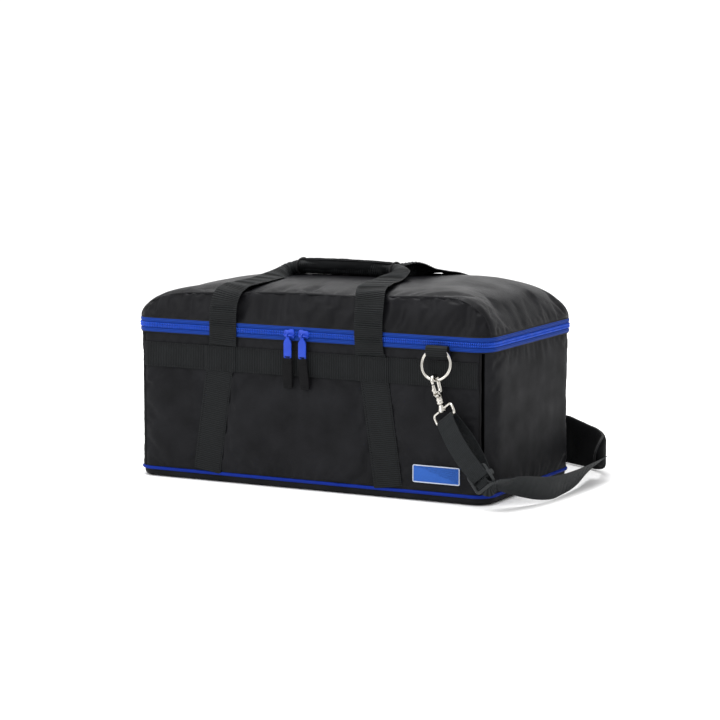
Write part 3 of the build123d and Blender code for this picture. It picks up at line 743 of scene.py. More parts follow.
def build_legs(end, face):
    """Handle legs sewn down one side of the bag; returns their stitching."""
    stitches = []
    for name, side in (("left_leg", -1), ("right_leg", 1)):
        stations = [(leg_centre(side, z), face * (HALF_Y + 1.3 * MM), z, 1, 0, 0, HANDLE_WIDTH, 0)
                    for z in np.linspace(FOOT_Z + 0.5 * MM, LOOP_TOP_Z, 8)]
        piece(f"{end}_{name}_webbing", ribbon(stations), WEBBING, "bag_body", [f"{end}_{name}"])
        z = np.linspace(FOOT_Z + 2 * MM, BAND_Z[0] - 1 * MM, 60)
        for edge in (-1, 1):
            x = leg_centre(side, z) + edge * (HANDLE_WIDTH / 2 - 3 * MM)
            stitches.append(stitch_line(columns(x, face * (HALF_Y + 2.4 * MM), z)))
    return stitches


def build_band(end, face):
    """Band of webbing along one side of the bag, over the handle legs; returns its stitching."""
    x = np.arange(-SEAM_X + 0.6 * MM, SEAM_X, 4 * MM)
    z_mid = sum(BAND_Z) / 2
    over = np.zeros_like(x)
    for side in (-1, 1):
        reach = (np.abs(x - leg_centre(side, z_mid)) - HANDLE_WIDTH / 2) / (5 * MM)
        over = np.maximum(over, np.clip(1 - reach, 0, 1))
    y, out = front_plan(x)
    proud = 1.2 * MM + 2.0 * MM * ease(over)
    x = x + out[:, 0] * proud
    y = -face * (y + out[:, 1] * proud)
    stations = columns(x, y, z_mid, 0, 0, 1, BAND_Z[1] - BAND_Z[0], 0)
    piece(f"{end}_band_webbing", ribbon(stations, rib=3.0 * MM), WEBBING, "bag_body", [f"{end}_band"])
    return [stitch_line(columns(x, y + face * 1.1 * MM, z)) for z in (BAND_Z[0] + 3 * MM, BAND_Z[1] - 3 * MM)]


def build_body_webbing():
    """Handle legs and bands of the front and the back, and their stitching."""
    stitches = []
    for end, face in (("front", -1), ("rear", 1)):
        stitches += build_legs(end, face) + build_band(end, face)
    piece("body_stitching", merged(stitches), THREAD, "bag_body")


def build_patch():
    """Plain woven patch with a raised border, near the front's lower right corner."""
    low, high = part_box("label_patch")
    centre = vec([(low.x + high.x) / 2, -HALF_Y - 0.9 * MM, (low.z + high.z) / 2])
    width, height = high.x - low.x, high.z - low.z
    cloth = plate(centre, (1, 0, 0), (0, 0, 1), width, height, 1.2 * MM, 2.5 * MM, 0.4 * MM)
    piece("plain_patch", cloth, PATCH, "bag_body", ["label_patch"])
    edge = rounded_rect(width - 1.6 * MM, height - 1.6 * MM, 2.2 * MM, 8)
    line = centre + columns(edge[:, 0], -0.6 * MM, edge[:, 1])
    piece("patch_border", tube(line, 0.9 * MM, loop=True, start=(0, 1, 0)), PATCH_EDGE, "bag_body")


# ---------------------------------------------------------------- lid
def crown_z(y):
    """Height of the lid's top along its crown."""
    return LID_TOP_Z - (CROWN_R - np.sqrt(CROWN_R**2 - np.asarray(y, float) ** 2))


def roll_length(side, y):
    """Length of the lid's rolled end at a distance across the lid."""
    front, rib_highlight_and_shade, back = LID_ROLL[side]
    seam = np.where(np.asarray(y) < 0, front, back)
    return rib_highlight_and_shade + (seam - rib_highlight_and_shade) * step_up(np.abs(y), 60 * MM, 145 * MM)


def lid_z(x, y):
    """Height of the lid's top and rolled ends: it sinks at the left and is fuller at the right."""
    x, y = np.asarray(x, float), np.asarray(y, float)
    back_swell = 4.5 * MM * step_up(x, -50 * MM, 150 * MM) * np.exp(-((y - 95 * MM) / (75 * MM)) ** 2)
    front_swell = 6.5 * MM * step_up(x, 60 * MM, 230 * MM) * np.exp(-((y + 150 * MM) / (60 * MM)) ** 2)
    sink = 9 * MM * step_up(-x, 10 * MM, 250 * MM)
    top = crown_z(y) + back_swell + front_swell - sink
    drop = np.minimum(LID_ROLL_Z, top - SILL_Z)
    roll = np.where(x < 0, roll_length(-1, y), roll_length(1, y))
    into = np.clip(np.abs(x) - (end_x(y) - roll), 0, roll) / roll
    return top - drop + drop * np.sqrt(np.maximum(0, 1 - into**2))


def crowded(reach, count):
    """X from one end of the lid to the other, closer together towards the ends."""
    return reach * -np.cos(np.linspace(0, math.pi, count))


def build_lid_top():
    """Crowned top panel that rolls down over both ends."""
    turn = np.linspace(0, math.pi / 2, 19)
    rows = []
    for y in np.linspace(-LID_SEAM_Y + 1 * MM, LID_SEAM_Y - 1 * MM, 47):
        half = float(end_x(y))
        left = np.sort(-half + roll_length(-1, y) * (1 - np.cos(turn)))
        right = np.sort(half - roll_length(1, y) * (1 - np.cos(turn)))
        x = np.concatenate([left, np.linspace(left[-1], right[0], 56)[1:-1], right])
        z = lid_z(x, y)
        z[[0, -1]] = SILL_Z
        rows.append(columns(x, y, z))
    base = np.stack(rows)
    panel("lid_top", base, grid_normals(base), LID_WALL, "lid", LID_CLOTH, 31, 5 * MM, pressure=1.3,
          growth=0.022, crumple=0.6 * MM, node="lid_top_panel")


def bowed(v, foot, knee, seam):
    """Curve from a foot (v = 0) to a seam (v = 1), pulled towards a knee."""
    return (1 - v) ** 2 * foot + 2 * v * (1 - v) * knee + v**2 * seam


def build_lid_panels():
    """Long padded panels in front of the lid's top and behind it."""
    x = crowded(float(end_x(LID_SEAM_Y)) - 0.3 * MM, 97)
    v = np.linspace(0, 1, 13)[:, None]
    front_y, normals = front_plan(x)
    for name, face in (("lid_front_panel", -1), ("lid_back_panel", 1)):
        seam_z = np.maximum(lid_z(x, face * LID_SEAM_Y), SILL_Z + 0.5 * MM)
        share = np.clip((seam_z - SILL_Z) / (50 * MM), 0, 1)
        y = bowed(v, -front_y, -front_y - 9 * MM * share, LID_SEAM_Y + 1 * MM)
        z = bowed(v, SILL_Z, seam_z + 2.0 * MM * share, seam_z)
        base = columns(x, face * y, z)
        out = unit(columns(normals[:, 0], -face * normals[:, 1], 0.5 * v))
        if face > 0:
            base, out = base[:, ::-1], out[:, ::-1]
        panel(name, base, out, LID_WALL * 0.8, "lid", LID_CLOTH, 41 + face, 5 * MM, pressure=3.2, growth=0.03,
              crumple=0.8 * MM)


def build_lid_seams():
    """Bound seams along both sides of the lid's top, with a row of stitches beside each."""
    x = crowded(float(end_x(LID_SEAM_Y)), 160)
    seams, stitches = [], []
    for face in (-1, 1):
        line = columns(x, face * (LID_SEAM_Y + 0.4 * MM), lid_z(x, face * LID_SEAM_Y))
        seams.append(tube(smooth(line, 4 * MM), 1.9 * MM, start=(0, 1, 0)))
        y = face * (LID_SEAM_Y - 5 * MM)
        line = columns(x, y, lid_z(x, y) + 0.5 * MM)
        stitches.append(stitch_line(smooth(line[12:-12], 2 * MM)))
    piece("lid_seam_bindings", merged(seams), LID_CLOTH, "lid", ["lid_welts"])
    piece("lid_stitching", merged(stitches), THREAD, "lid")


# ---------------------------------------------------------------- zipper
def coil(z):
    """Coil of one side of the zipper, as a flattened helix round the rim."""
    points, normals = outline(COIL_PITCH / 8, BACK_OPEN_X + 4 * MM)
    phase = np.arange(len(points)) * TAU / 8
    out = 1.2 * MM + 1.9 * MM * np.cos(phase)
    line = at_height(points + normals * out[:, None], z + 1.5 * MM * np.sin(phase))
    return tube(line, 0.8 * MM, 6)


def tape(hem, edge):
    """Zipper tape from its hem to its free edge, bowed outwards."""
    middle = (hem + edge) / 2
    section = [(-3 * MM, hem), (0.9 * MM, hem), (2.6 * MM, (hem + middle) / 2), (2.9 * MM, middle),
               (1.9 * MM, (edge + middle) / 2), (-0.4 * MM, edge), (-3 * MM, edge)]
    return round_rim(section, BACK_OPEN_X)


def build_zipper():
    """Blue tapes with their coils, which part when the lid opens, their hems, and the end stops."""
    lower = tape(RIM_Z - 0.6 * MM, ZIP_Z - 2.4 * MM)
    upper = tape(SILL_Z + 0.6 * MM, ZIP_Z + 2.4 * MM)
    piece("lower_tape_cloth", lower, TAPE, "bag_body", ["lower_zipper_tape"])
    piece("upper_tape_cloth", upper, TAPE, "lid", ["upper_zipper_tape"])
    piece("lower_coil", coil(ZIP_Z - COIL_SHIFT), COIL, "bag_body", ["lower_zipper_teeth"])
    piece("upper_coil", coil(ZIP_Z + COIL_SHIFT), COIL, "lid", ["upper_zipper_teeth"])
    for name, z, body in (("body_hem", RIM_Z + 0.8 * MM, "bag_body"), ("lid_hem", SILL_Z - 0.8 * MM, "lid")):
        piece(name, round_rim(oval(0.2 * MM, z, 1.7 * MM, 1.9 * MM), BACK_OPEN_X), SHELL, body)
    stops = []
    for side in (-1, 1):
        centre = (side * (BACK_OPEN_X + 2 * MM), HALF_Y - 0.5 * MM, ZIP_Z - COIL_SHIFT)
        stops.append(plate(centre, (1, 0, 0), (0, 0, 1), 4 * MM, 4 * MM, 5 * MM, 0.8 * MM))
    piece("zipper_stops", merged(stops), ENAMEL, "bag_body", ["zipper_end_stops"])


def build_hinge():
    """Fabric flap that joins the lid to the body along the back."""
    x = np.linspace(-BACK_OPEN_X, BACK_OPEN_X, 84)
    z = np.linspace(RIM_Z - 1 * MM, SILL_Z + 1 * MM, 15)
    zz, xx = np.meshgrid(z, x[::-1], indexing="ij")
    bulge = 1.2 * MM * np.sin((zz - z[0]) / (z[-1] - z[0]) * math.pi)
    shape = slab(columns(xx, HALF_Y + 0.2 * MM + bulge, zz), columns(xx, HALF_Y - 1.8 * MM + bulge, zz))
    flap = piece("hinge_flap", shape, SHELL, None, ["lower_hinge_strip", "upper_hinge_strip"])
    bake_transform(flap)


def slider_body(x, bar, head):
    """Slider with a domed cover, shoulders towards its head, a back plate, a divider and a bridge."""
    def part(ahead, y, up, *sizes):
        return plate((x + head * ahead * MM, y, ZIP_Z), (1, 0, 0), up, *(size * MM for size in sizes))

    cover_y = -HALF_Y - 4.0 * MM
    bridge = [(-8.2, 5.2, 0), (-8, 2.6, 0), (-6, 0.4, 0), (0, -0.2, 0), (6, 0.4, 0), (8, 2.6, 0),
              (8.2, 5.2, 0)]
    return merged([
        part(0, cover_y, (0, 0, 1), 19, 12, 2.6, 3.6, 0.9, 0.8),
        part(4, cover_y + 0.4 * MM, (0, 0, 1), 11, 15, 2.4, 4, 0.8),
        part(0, -HALF_Y + 5.0 * MM, (0, 0, 1), 18, 11, 1.8, 3),
        part(3, -HALF_Y + 0.4 * MM, (0, 1, 0), 8, 9, 0.6, 1.5, 0.15),
        tube(smooth([bar + vec(point) * MM for point in bridge], 1 * MM), 1.25 * MM),
    ])


def puller_body(x, bar, foot):
    """Puller: an eye round the bridge, a waisted plate and an open foot."""
    top = bar[2] - 2.6 * MM
    eye_r = 2.7 * MM
    eye = [bar + vec([0, eye_r * math.cos(a), eye_r * math.sin(a)]) for a in np.linspace(0, TAU, 16)[:-1]]
    # distance below the eye, width and thickness, in millimetres
    levels = ((0, 5.0, 2.2), (3, 6.5, 2.4), (7, 12.6, 2.6), (10, 14, 2.6), (28, 14, 2.4), (31, 13.4, 2.3))
    rings = []
    for down, width, thick in levels:
        edge = rounded_rect(width * MM, thick * MM, 0.9 * MM, 4)
        rings.append(vec([x, bar[1], top - down * MM]) + at_height(edge, 0.0))
    parts = [tube(eye, 1.0 * MM, loop=True, start=(1, 0, 0)), sweep(np.stack(rings))]
    frame_half = ((6.0, top - 30 * MM), (5.6, foot + 2.6 * MM), (2, foot + 0.9 * MM), (0, foot + 0.9 * MM))
    for flank in (-1, 1):
        line = [(x + flank * out * MM, bar[1], z) for out, z in frame_half]
        parts.append(tube(smooth(line, 1 * MM), 1.1 * MM))
    return merged(parts)


def pull_tab(top, foot):
    """Moulded tab with two cross ribs."""
    lie = unit(foot - top)
    across = unit(np.cross(lie, vec([0, 1, 0])))
    length = np.linalg.norm(foot - top)
    parts = [plate((top + foot) / 2, across, -lie, 16.5 * MM, length, 4.4 * MM, 3.2 * MM, 1.3 * MM)]
    for step in (8 * MM, 45 * MM):
        rib = plate(top + lie * step, across, -lie, 14.5 * MM, 2.4 * MM, 5.2 * MM, 0.9 * MM, 0.5 * MM)
        parts.append(rib)
    return merged(parts)


def build_sliders():
    """Two sliders head to head, each with a bridge, a puller and a tab."""
    for side, head in (("left", 1), ("right", -1)):
        low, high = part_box(f"{side}_slider")
        x = (low.x + high.x) / 2
        bar = vec(JOINT[f"{side}_puller_swing"]["pos_m"])
        piece(f"{side}_slider_body", slider_body(x, bar, head), ENAMEL, f"{side}_slider", [f"{side}_slider"])
        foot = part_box(f"{side}_puller")[0].z
        piece(f"{side}_puller_body", puller_body(x, bar, foot), ENAMEL, f"{side}_puller", [f"{side}_puller"])
        low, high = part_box(f"{side}_pull_tab")
        tab_x = x + 0.5 * MM if side == "left" else high.x - 9.5 * MM
        tab = pull_tab(vec([x, bar[1], foot + 1.6 * MM]), vec([tab_x, bar[1], low.z + 1.5 * MM]))
        piece(f"{side}_tab", tab, RUBBER, f"{side}_puller", [f"{side}_pull_tab"])


# ---------------------------------------------------------------- handles
def flat_run(*points):
    """Rows of a handle's route where its webbing lies flat, across X."""
    return [(*point, 1, 0, 0, 0) for point in points]


def rolled_run(entry):
    """Rows of a handle's route from where it enters the grip, rolled up."""
    return [(x, -19, GRIP_Z / MM, 0, 0, -1, -5.6) for x in (entry, 60, 20)]


# Each row: distance from the handles' middle, y, z, then the direction across and the roll
HANDLE_FOOT = flat_run((134.0, -168.2, LOOP_TOP_Z / MM + 0.3), (133.0, -169.6, 243), (132.5, -170.5, 264))
LEFT_HALF = HANDLE_FOOT + flat_run(
    (132.5, -169.0, 284), (132, -163.5, 300), (129, -155, 313), (124, -142, 320.5), (117, -122, 324),
    (110.5, -98, 326), (106, -76, 328),
) + [
    (104, -58, 330, 0.98, -0.15, -0.05, -0.1),
    (101, -44, 332, 0.93, -0.3, -0.2, -0.5),
    (97, -33, 335.5, 0.8, -0.35, -0.5, -1.8),
    (92.5, -25, 339, 0.5, -0.3, -0.8, -3.4),
    (88, -20, 341.5, 0.2, -0.15, -0.97, -4.9),
] + rolled_run(83)
FRONT_RIGHT_HALF = HANDLE_FOOT + flat_run(
    (132.5, -169.5, 288), (132, -164.5, 309), (129, -156.0, 324), (125, -142, 330.5), (119, -118, 332),
    (113, -92, 333), (111, -70, 333.5),
) + [
    (110.5, -54, 335.5, 1, 0, -0.02, -0.1),
    (110, -42, 340, 1, 0, -0.06, -0.4),
    (108.5, -32, 345, 0.97, -0.05, -0.2, -1.2),
    (105, -24, 347, 0.85, -0.1, -0.5, -2.6),
    (99, -19.5, 346, 0.5, -0.12, -0.85, -4.2),
    (93, -19, 344, 0.15, -0.05, -0.98, -5.3),
] + rolled_run(87)
REAR_RIGHT_HALF = HANDLE_FOOT + flat_run(
    (133, -169.5, 284), (135, -164.0, 301), (138, -154, 315), (142, -140, 323),
) + [
    (144, -118, 329.5, 0.98, -0.2, 0, 0),
    (143, -96, 334, 0.9, -0.4, -0.05, 0),
    (138, -75, 336.5, 0.8, -0.5, -0.14, -0.2),
    (129, -55, 339.5, 0.65, -0.6, -0.35, -0.7),
    (119, -40, 345, 0.5, -0.55, -0.65, -1.7),
    (109, -28, 347, 0.3, -0.4, -0.85, -2.7),
    (99.5, -21, 345, 0.12, -0.2, -0.97, -4.2),
] + rolled_run(91)


def build_handles():
    """Free handle loops that roll up into the wrap grip."""
    for end, right_half in (("front", FRONT_RIGHT_HALF), ("rear", REAR_RIGHT_HALF)):
        stations = []
        for side, rows in ((-1, LEFT_HALF), (1, right_half[::-1])):
            for x, y, z, ax, ay, az, curl in rows:
                point = (HANDLE_X + side * x * MM, y * MM, z * MM)
                stations.append((*point, -side * ax, ay, az, HANDLE_WIDTH, curl))
        shape = ribbon(stations, rib=3.7 * MM, relief=0.45 * MM, across=15)
        if end == "rear":
            shape = mirrored(shape)
        piece(f"{end}_handle_webbing", shape, WEBBING, f"{end}_handle", [f"{end}_handle_loop"])


def build_grip():
    """Padded wrap round both handles: a long roll whose flap overlaps along its upper front."""
    x0, x1 = GRIP_LOW.x, GRIP_HIGH.x
    turn = full_turn(56)
    seam = math.radians(118)

    def arch(x):
        return 1.6 * MM * np.sin((x - x0) / (x1 - x0) * math.pi)

    u, a = np.meshgrid(np.linspace(x0, x1, 96), turn, indexing="ij")
    wrap = 1.2 * MM * ((a - seam) % TAU) / TAU - 0.4 * MM
    pinch = 1.6 * MM * np.exp(-np.minimum(u - x0, x1 - u) / (7 * MM))
    fold = 0.7 * MM * value_noise(u / (24 * MM), a * 2.2, 51)
    crease = 0.35 * MM * value_noise(u / (8 * MM), a * 4, 52)
    lift = wrap - pinch + (fold + crease)
    rings = columns(u, (GRIP_DEPTH + lift) * np.cos(a), GRIP_Z + arch(u) + (GRIP_RISE + lift) * np.sin(a))
    grip = piece("wrap_grip", sweep(rings), PAD, "rear_handle", ["handle_grip_pad"])

    parts = []
    for x_end in (x0 + 1.2 * MM, x1 - 1.2 * MM):
        ring = columns(x_end, GRIP_DEPTH * np.cos(turn), GRIP_Z + GRIP_RISE * np.sin(turn))
        parts.append(tube(ring, 1.9 * MM, loop=True, start=(1, 0, 0)))
    x = np.linspace(x0 + 3 * MM, x1 - 3 * MM, 60)
    line = columns(x, (GRIP_DEPTH + 0.6 * MM) * math.cos(seam),
                   GRIP_Z + arch(x) + (GRIP_RISE + 0.6 * MM) * math.sin(seam))
    parts.append(tube(line, 0.9 * MM, start=(0, 1, 0)))
    piece("grip_flap_binding", merged(parts), BINDING, "rear_handle", ["handle_grip_flap"])


# ---------------------------------------------------------------- ring, snap hook and tri-glide
REAR_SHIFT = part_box("front_ring")[0].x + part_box("front_ring")[1].x
RING_TOP = vec(JOINT["front_ring_swing"]["pos_m"])
RING_R = 24.5 * MM
RING_LEAN = math.radians(10)
RING_DOWN = vec([0, -math.sin(RING_LEAN), -math.cos(RING_LEAN)])
RING_BOTTOM = RING_TOP + 2 * RING_R * RING_DOWN
EYE_TOP = vec(JOINT["front_hook_swivel"]["pos_m"])
HOOK_UP = unit(vec(JOINT["front_hook_swivel"]["axis"]))
OUTWARD = vec([0, -1, 0])
HOOK_SIDE = unit(np.cross(OUTWARD, HOOK_UP))
STRAP_UP = unit(vec(JOINT["front_triglide_slide"]["axis"]))
STRAP_DOWN = -STRAP_UP
STRAP_LEAN = vec([0.86, -0.25, 0.43])
STRAP_ACROSS = unit(STRAP_LEAN - STRAP_DOWN * STRAP_LEAN.dot(STRAP_DOWN))
STRAP_OUT = unit(np.cross(STRAP_ACROSS, STRAP_DOWN))
if STRAP_OUT[1] > 0:
    STRAP_OUT = -STRAP_OUT
GLIDE = (vec(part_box("front_triglide")[0]) + vec(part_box("front_triglide")[1])) / 2
GLIDE_REACH = 108 * MM
FOLD = GLIDE + STRAP_UP * GLIDE_REACH


def pair(name, shape, material, body, node):
    """Makes a piece of front hardware and its rear twin, at the other end of the back."""
    verts, faces, uv = mirrored(shape)
    twin = (verts - vec([REAR_SHIFT, 0, 0]), faces, uv)
    for end, form in (("front", shape), ("rear", twin)):
        rider = body if body == "bag_body" else f"{end}_{body}"
        piece(f"{end}_{name}", form, material, rider, [f"{end}_{node}"])


def hook_line(spacing, *rows):
    """Smooth line through (out, up, radius) rows in the snap hook's own plane, in mm from the ring's wire."""
    return smooth([(*(RING_BOTTOM + OUTWARD * out * MM + HOOK_UP * up * MM), radius * MM)
                   for out, up, radius in rows], spacing)


def build_ring():
    """O-ring in its webbing loop."""
    turn = full_turn(72)[:, None]
    level = vec([1, 0, 0])
    circle = RING_TOP + RING_R * RING_DOWN + RING_R * (np.cos(turn) * level + np.sin(turn) * RING_DOWN)
    normal = np.cross(level, RING_DOWN)
    pair("o_ring", tube(circle, 2.5 * MM, 14, loop=True, start=normal), NICKEL, "ring", "ring")

    # webbing runs up the wall, over the ring's top and down in front of it
    y_wall, y_top, z_top = -HALF_Y - 4.6 * MM, RING_TOP[1], RING_TOP[2]
    route = [(y_wall + 3.4 * MM, z_top - 17 * MM), (y_wall, z_top - 12 * MM),
             (y_wall - 0.4 * MM, z_top - 3 * MM),
             (y_top + 2.6 * MM, z_top + 3.2 * MM), (y_top - 1.6 * MM, z_top + 4.2 * MM),
             (y_top - 5.0 * MM, z_top + 0.6 * MM), (y_top - 5.4 * MM, z_top - 6 * MM),
             (y_top - 3.2 * MM, z_top - 11.4 * MM)]
    stations = [(RING_TOP[0], y, z, 1, 0, 0, 37 * MM, 0) for y, z in route]
    pair("ring_webbing", ribbon(stations, thick=1.7 * MM, spacing=0.6 * MM), WEBBING, "bag_body", "ring_loop")


def build_hook():
    """Trigger snap hook: claw with a turned collar, and thumb gate with its knob."""
    spine = ((2.0, -25.0, 4.2), (-3.0, -25.0, 4.0), (-7.6, -21.5, 3.4), (-9.8, -16.0, 2.8),
             (-10.4, -8.0, 2.6), (-10.0, 0.0, 2.7), (-7.2, 5.0, 2.8), (-1.0, 6.9, 2.7), (5.4, 5.8, 2.6),
             (9.2, 2.0, 2.4), (10.2, -2.6, 2.1), (10.2, -5.2, 1.6))
    claw = hook_line(1.2 * MM, *spine)
    lug = hook_line(1 * MM, (1, -25.4, 0), (6.5, -24.4, 0), (9.8, -21.4, 0))[:, :3]
    collar = ((-38, 3.2), (-38, 4.9), (-37, 5.8), (-35, 6.0), (-34, 5.4), (-33, 5.3), (-32, 5.9), (-30, 5.9),
              (-29, 5.4), (-27, 5.0), (-24, 4.8), (-20, 4.3), (-17.5, 2.8), (-17, 0.4))
    parts = [
        tube(claw[:, :3], claw[:, 3], 12, start=HOOK_SIDE, flat=1.3),
        tube(lug, np.linspace(3.8, 2.8, len(lug)) * MM, 12, start=HOOK_SIDE, flat=1.3),
        lathe(RING_BOTTOM, HOOK_UP, collar),
    ]
    pair("snap_claw", merged(parts), NICKEL, "hook", "hook_body")

    gate = hook_line(1 * MM, (9.9, -19.8, 2.2), (10.2, -13.5, 2.0), (10.2, -6.8, 1.6))
    knob = ((0, 1.6), (1.8, 1.5), (2.6, 2.1), (3.6, 2.3), (4.2, 1.7), (4.4, 0.4))
    knob_foot = RING_BOTTOM + OUTWARD * 10.6 * MM + HOOK_UP * -14.5 * MM
    parts = [
        tube(gate[:, :3], gate[:, 3], 10, start=HOOK_SIDE, flat=1.5),
        lathe(knob_foot, OUTWARD, knob, 16),
    ]
    pair("snap_gate", merged(parts), NICKEL, "gate", "hook_gate")


def build_swivel():
    """Swivel stud of the snap hook and the frame that holds the strap."""
    reach = np.linalg.norm(RING_BOTTOM - EYE_TOP) / MM
    stud = ((-reach - 3, 5.5), (-reach - 1, 7.2), (-reach + 2, 6.4), (-reach + 5, 4.9), (-40.2, 4.4),
            (-39.0, 3.6), (-38.6, 2.4), (-24, 2.3), (-23.6, 4.1), (-21.4, 4.1), (-21.0, 3.2), (-21.0, 0.4))
    down = FOLD - EYE_TOP
    down = unit(down - STRAP_ACROSS * down.dot(STRAP_ACROSS))
    edge = rounded_rect(44.4 * MM, 17 * MM, 5 * MM, 8)
    line = FOLD - down * 8.5 * MM + edge[:, :1] * STRAP_ACROSS - edge[:, 1:] * down
    loop = tube(line, 2.2 * MM, 12, loop=True, start=np.cross(STRAP_ACROSS, down))
    pair("swivel_eye", merged([lathe(RING_BOTTOM, HOOK_UP, stud, 20), loop]), NICKEL, "bag_body", "hook_eye")


def build_triglide():
    """Slide adjuster: a rounded frame over the strap and a bar behind it."""
    edge = rounded_rect(42.5 * MM, 31.5 * MM, 5 * MM, 8)
    line = GLIDE + STRAP_OUT * 3.9 * MM + edge[:, :1] * STRAP_ACROSS + edge[:, 1:] * STRAP_DOWN
    bar = [GLIDE - STRAP_OUT * 4.2 * MM + STRAP_ACROSS * s * MM for s in np.linspace(-22, 22, 12)]
    parts = [
        tube(line, 2.6 * MM, 12, loop=True, start=STRAP_OUT, flat=0.6),
        tube(bar, 2.6 * MM, 10, start=STRAP_OUT, flat=0.5),
    ]
    for side in (-1, 1):
        foot = GLIDE + STRAP_ACROSS * side * 21.5 * MM
        rail = [foot + STRAP_OUT * s * MM for s in np.linspace(-4.2, 4.2, 6)]
        parts.append(tube(rail, 2.0 * MM, 10, start=STRAP_DOWN, flat=2.4))
    pair("slide_adjuster", merged(parts), ACETAL, "triglide", "triglide")


# ---------------------------------------------------------------- shoulder strap and pad
# Each row: a point in millimetres, then the direction across the strap
FRONT_ROUTE = (
    (347, -186, 44, 0.85, -0.3, 0.45),
    (358, -165, 39.5, 0.72, -0.1, 0.68),
    (370, -135, 32.5, 0.5, 0, 0.86),
    (380, -100, 25, 0.26, 0, 0.97),
    (386.5, -60, 20.3, 0.19, 0, 0.98),
    (387, -20, 19.8, 0.3, 0, 0.95),
    (386.5, 20, 20.3, 0.39, 0, 0.92),
    (385, 60, 22.5, 0.52, 0, 0.86),
    (381, 100, 25.5, 0.68, 0, 0.73),
    (377.5, 130, 28, 0.8, 0, 0.6),
    (374.5, 146, 31, 0.86, 0.1, 0.5),
)
REAR_ROUTE = (
    (-129, 195.5, 29.5, 0.4, 0.2, 0.88),
    (-112, 200, 24.5, 0.15, 0.1, 0.98),
    (-90, 207, 21.4, 0, 0, 1),
    (-30, 222, 20.4, 0, 0.04, 1),
    (45, 236, 20.4, 0, 0.05, 1),
    (120, 256, 21.5, 0, 0, 1),
    (172, 280, 27, 0, 0, 1),
    (208, 296, 35, 0, 0, 1),
    (234, 286.5, 41, 0, 0, 1),
    (258, 276.4, 43, 0, 0, 1),
)
# x, y, height of the lower edge and width of the pad, in millimetres
PAD_ROUTE = (
    (374.5, 134, 27, 20), (374.5, 142, 25, 29), (374, 153, 22, 38), (371, 168, 18, 46), (366, 186, 12, 54),
    (355, 206, 6, 62), (338, 223, 2, 69), (316, 239, 1.4, 72), (292, 253, 1.4, 76), (266, 265.5, 1.4, 80),
    (244, 275, 1.4, 76), (224, 283, 1.4, 64), (209, 289, 1.4, 50),
)


def strap_station(point, across):
    return (*point, *across, STRAP_WIDTH, 0)


def build_fold():
    """Strap through the snap hook's frame: two bowed layers that meet at the tri-glide."""
    def layer(bow, lift):
        stations = []
        for s in np.linspace(0, 1, 7):
            out = (lift + bow * math.sin(s * math.pi) ** 0.8) * MM
            point = FOLD + STRAP_DOWN * (s * GLIDE_REACH - 1 * MM) + STRAP_OUT * out
            stations.append(strap_station(point, STRAP_ACROSS))
        return stations

    around = [strap_station(FOLD + STRAP_UP * up * MM + STRAP_OUT * out * MM, STRAP_ACROSS)
              for up, out in ((0.6, 3.4), (3.2, 1.7), (3.6, 0), (3.2, -1.7), (0.6, -3.4))]
    stations = layer(9.0, 3.0)[:0:-1] + around + layer(-9.0, -3.0)[1:]
    pair("strap_fold", ribbon(stations, **STRAP_WEAVE), STRAP, "bag_body", "strap_loop")


def build_strap():
    """Strap from each tri-glide to the pad, as one layer."""
    after = GLIDE + STRAP_DOWN * 14 * MM - STRAP_OUT * 1.0 * MM
    turned = unit(STRAP_ACROSS + vec([-0.25, 0.1, 0.1]))
    start = ((GLIDE + STRAP_DOWN * 2 * MM, STRAP_ACROSS), (after, turned))
    flip, shift = vec([1, -1, 1]), vec([REAR_SHIFT, 0, 0])
    rear_start = [(point * flip - shift, across * flip) for point, across in start]
    for end, first, route in (("front", start, FRONT_ROUTE), ("rear", rear_start, REAR_ROUTE)):
        stations = [strap_station(point, across) for point, across in first]
        stations += [strap_station(vec(row[:3]) * MM, row[3:]) for row in route]
        piece(f"{end}_strap_webbing", ribbon(stations, **STRAP_WEAVE), STRAP, "bag_body", [f"{end}_strap"])


def build_pad():
    """Shoulder pad standing on its long edge, with bound edges and tapered ends."""
    rows = smooth(vec(PAD_ROUTE) * MM, 3.5 * MM)
    points, low, width = rows[:, :3] * vec([1, 1, 0]), rows[:, 2], rows[:, 3]
    upward = vec([0, 0, 1])
    normal = np.cross(directions(points), upward)
    centre = at_height(points, low + width / 2)
    along = lengths(points)
    u, a = np.meshgrid(along, full_turn(44), indexing="ij")
    high = np.sign(np.sin(a)) * np.abs(np.sin(a)) ** 0.35
    deep = np.sign(np.cos(a)) * np.abs(np.cos(a)) ** 0.8
    ripple = 0.9 * MM * value_noise(u / (26 * MM), a * 1.3, 61)
    ripple = ripple + 0.5 * MM * value_noise(u / (9 * MM), a * 3, 62)
    end = np.minimum(along, along[-1] - along)
    puff = 2.6 * MM + 3.2 * MM * np.clip(end / (22 * MM), 0, 1) ** 0.6
    rings = centre[:, None] + normal[:, None] * ((puff[:, None] + ripple) * deep)[..., None]
    rings = rings + upward * (width[:, None] / 2 * high)[..., None]
    pad = piece("shoulder_pad_cloth", sweep(rings), PAD, "bag_body", ["shoulder_pad"])

    upper = centre + upward * (width / 2 - 1.2 * MM)[:, None]
    lower = centre - upward * (width / 2 - 2.4 * MM)[:, None]
    edge = smooth(np.concatenate([upper, lower[::-1]]), 4 * MM, loop=True)
    piece("pad_binding", tube(edge, 2.3 * MM, loop=True, start=(1, 0, 0)), BINDING, "bag_body")


# ---------------------------------------------------------------- studio and camera
CAMERA_AZIMUTH = math.radians(27.7)
CAMERA_ELEVATION = math.radians(7.6)
CAMERA_DISTANCE = 4.528
CAMERA_AIM_RIGHT = 9.2 * MM
CAMERA_AIM_Z = 191.4 * MM
CAMERA_LENS_MM = 137.4


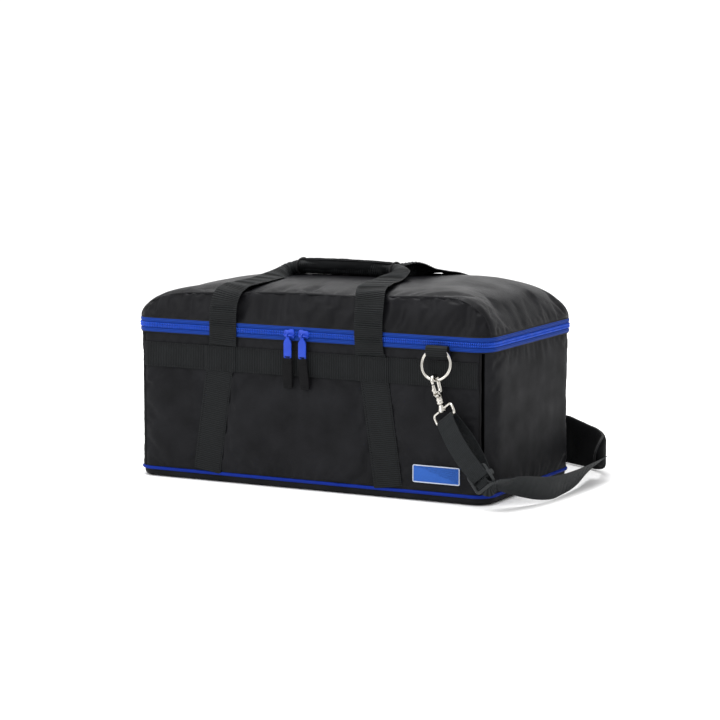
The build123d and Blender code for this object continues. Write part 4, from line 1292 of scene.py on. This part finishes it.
def area_light(name, location, target, size, power):
    light = bpy.data.lights.new(name, "AREA")
    light.shape = "RECTANGLE"
    light.size, light.size_y = size
    light.energy = power
    obj = link(name, light)
    obj.location = location
    obj.rotation_euler = (Vector(target) - Vector(location)).to_track_quat("-Z", "Y").to_euler()


def build_studio():
    """Pale floor, and soft light from all round, from above and from both sides."""
    x = np.linspace(-30.0, 30.0, 9)
    yy, xx = np.meshgrid(x, x, indexing="ij")
    mesh = bpy.data.meshes.new("floor")
    mesh.from_pydata(columns(xx, yy, -0.5 * MM).reshape(-1, 3).tolist(), [], lattice(9, 9))
    paper = Look("studio_paper", (0.94, 0.94, 0.94), 0.9)
    tone = paper.ramp(paper.noise(3, 2), (0.93, 0.93, 0.93), (0.95, 0.95, 0.95))
    mesh.materials.append(paper.done(color=tone))
    floor = link("floor", mesh)

    world = bpy.data.worlds.new("studio_world")
    world.use_nodes = True
    sky = world.node_tree.nodes["Background"]
    sky.inputs["Color"].default_value = (1, 1, 1, 1)
    sky.inputs["Strength"].default_value = 1.1
    bpy.context.scene.world = world
    bpy.context.scene.view_settings.view_transform = "Standard"
    area_light("top_softbox", (-0.3, -0.2, 2.4), (0, 0, 0.2), (2.4, 1.8), 70)
    area_light("front_softbox", (-1.6, -2.6, 1.6), (0, 0, 0.15), (1.8, 1.4), 26)
    area_light("right_softbox", (2.8, -0.9, 1.3), (0.2, 0, 0.15), (1.4, 1.4), 3)
    area_light("back_softbox", (-0.9, 2.4, 1.8), (0, 0, 0.2), (2.0, 1.2), 7)


def build_camera():
    """Camera at the usual product angle, to the right of the front and a little above it."""
    east, north = math.cos(CAMERA_AZIMUTH), math.sin(CAMERA_AZIMUTH)
    level = math.cos(CAMERA_ELEVATION)
    right = Vector((east, north, 0))
    back = Vector((north * level, -east * level, math.sin(CAMERA_ELEVATION)))
    camera = link("camera", bpy.data.cameras.new("camera"))
    camera.data.sensor_width = 36
    camera.data.lens = CAMERA_LENS_MM
    camera.location = right * CAMERA_AIM_RIGHT + Vector((0, 0, CAMERA_AIM_Z)) + back * CAMERA_DISTANCE
    camera.rotation_euler = (-back).to_track_quat("-Z", "Y").to_euler()
    bpy.context.scene.camera = camera


build_studio()
build_camera()
build_walls()
build_base()
build_welts()
build_body_webbing()
build_patch()
build_lid_top()
build_lid_panels()
build_lid_seams()
build_zipper()
build_hinge()
build_sliders()
build_handles()
build_grip()
build_ring()
build_hook()
build_swivel()
build_triglide()
build_fold()
build_strap()
build_pad()
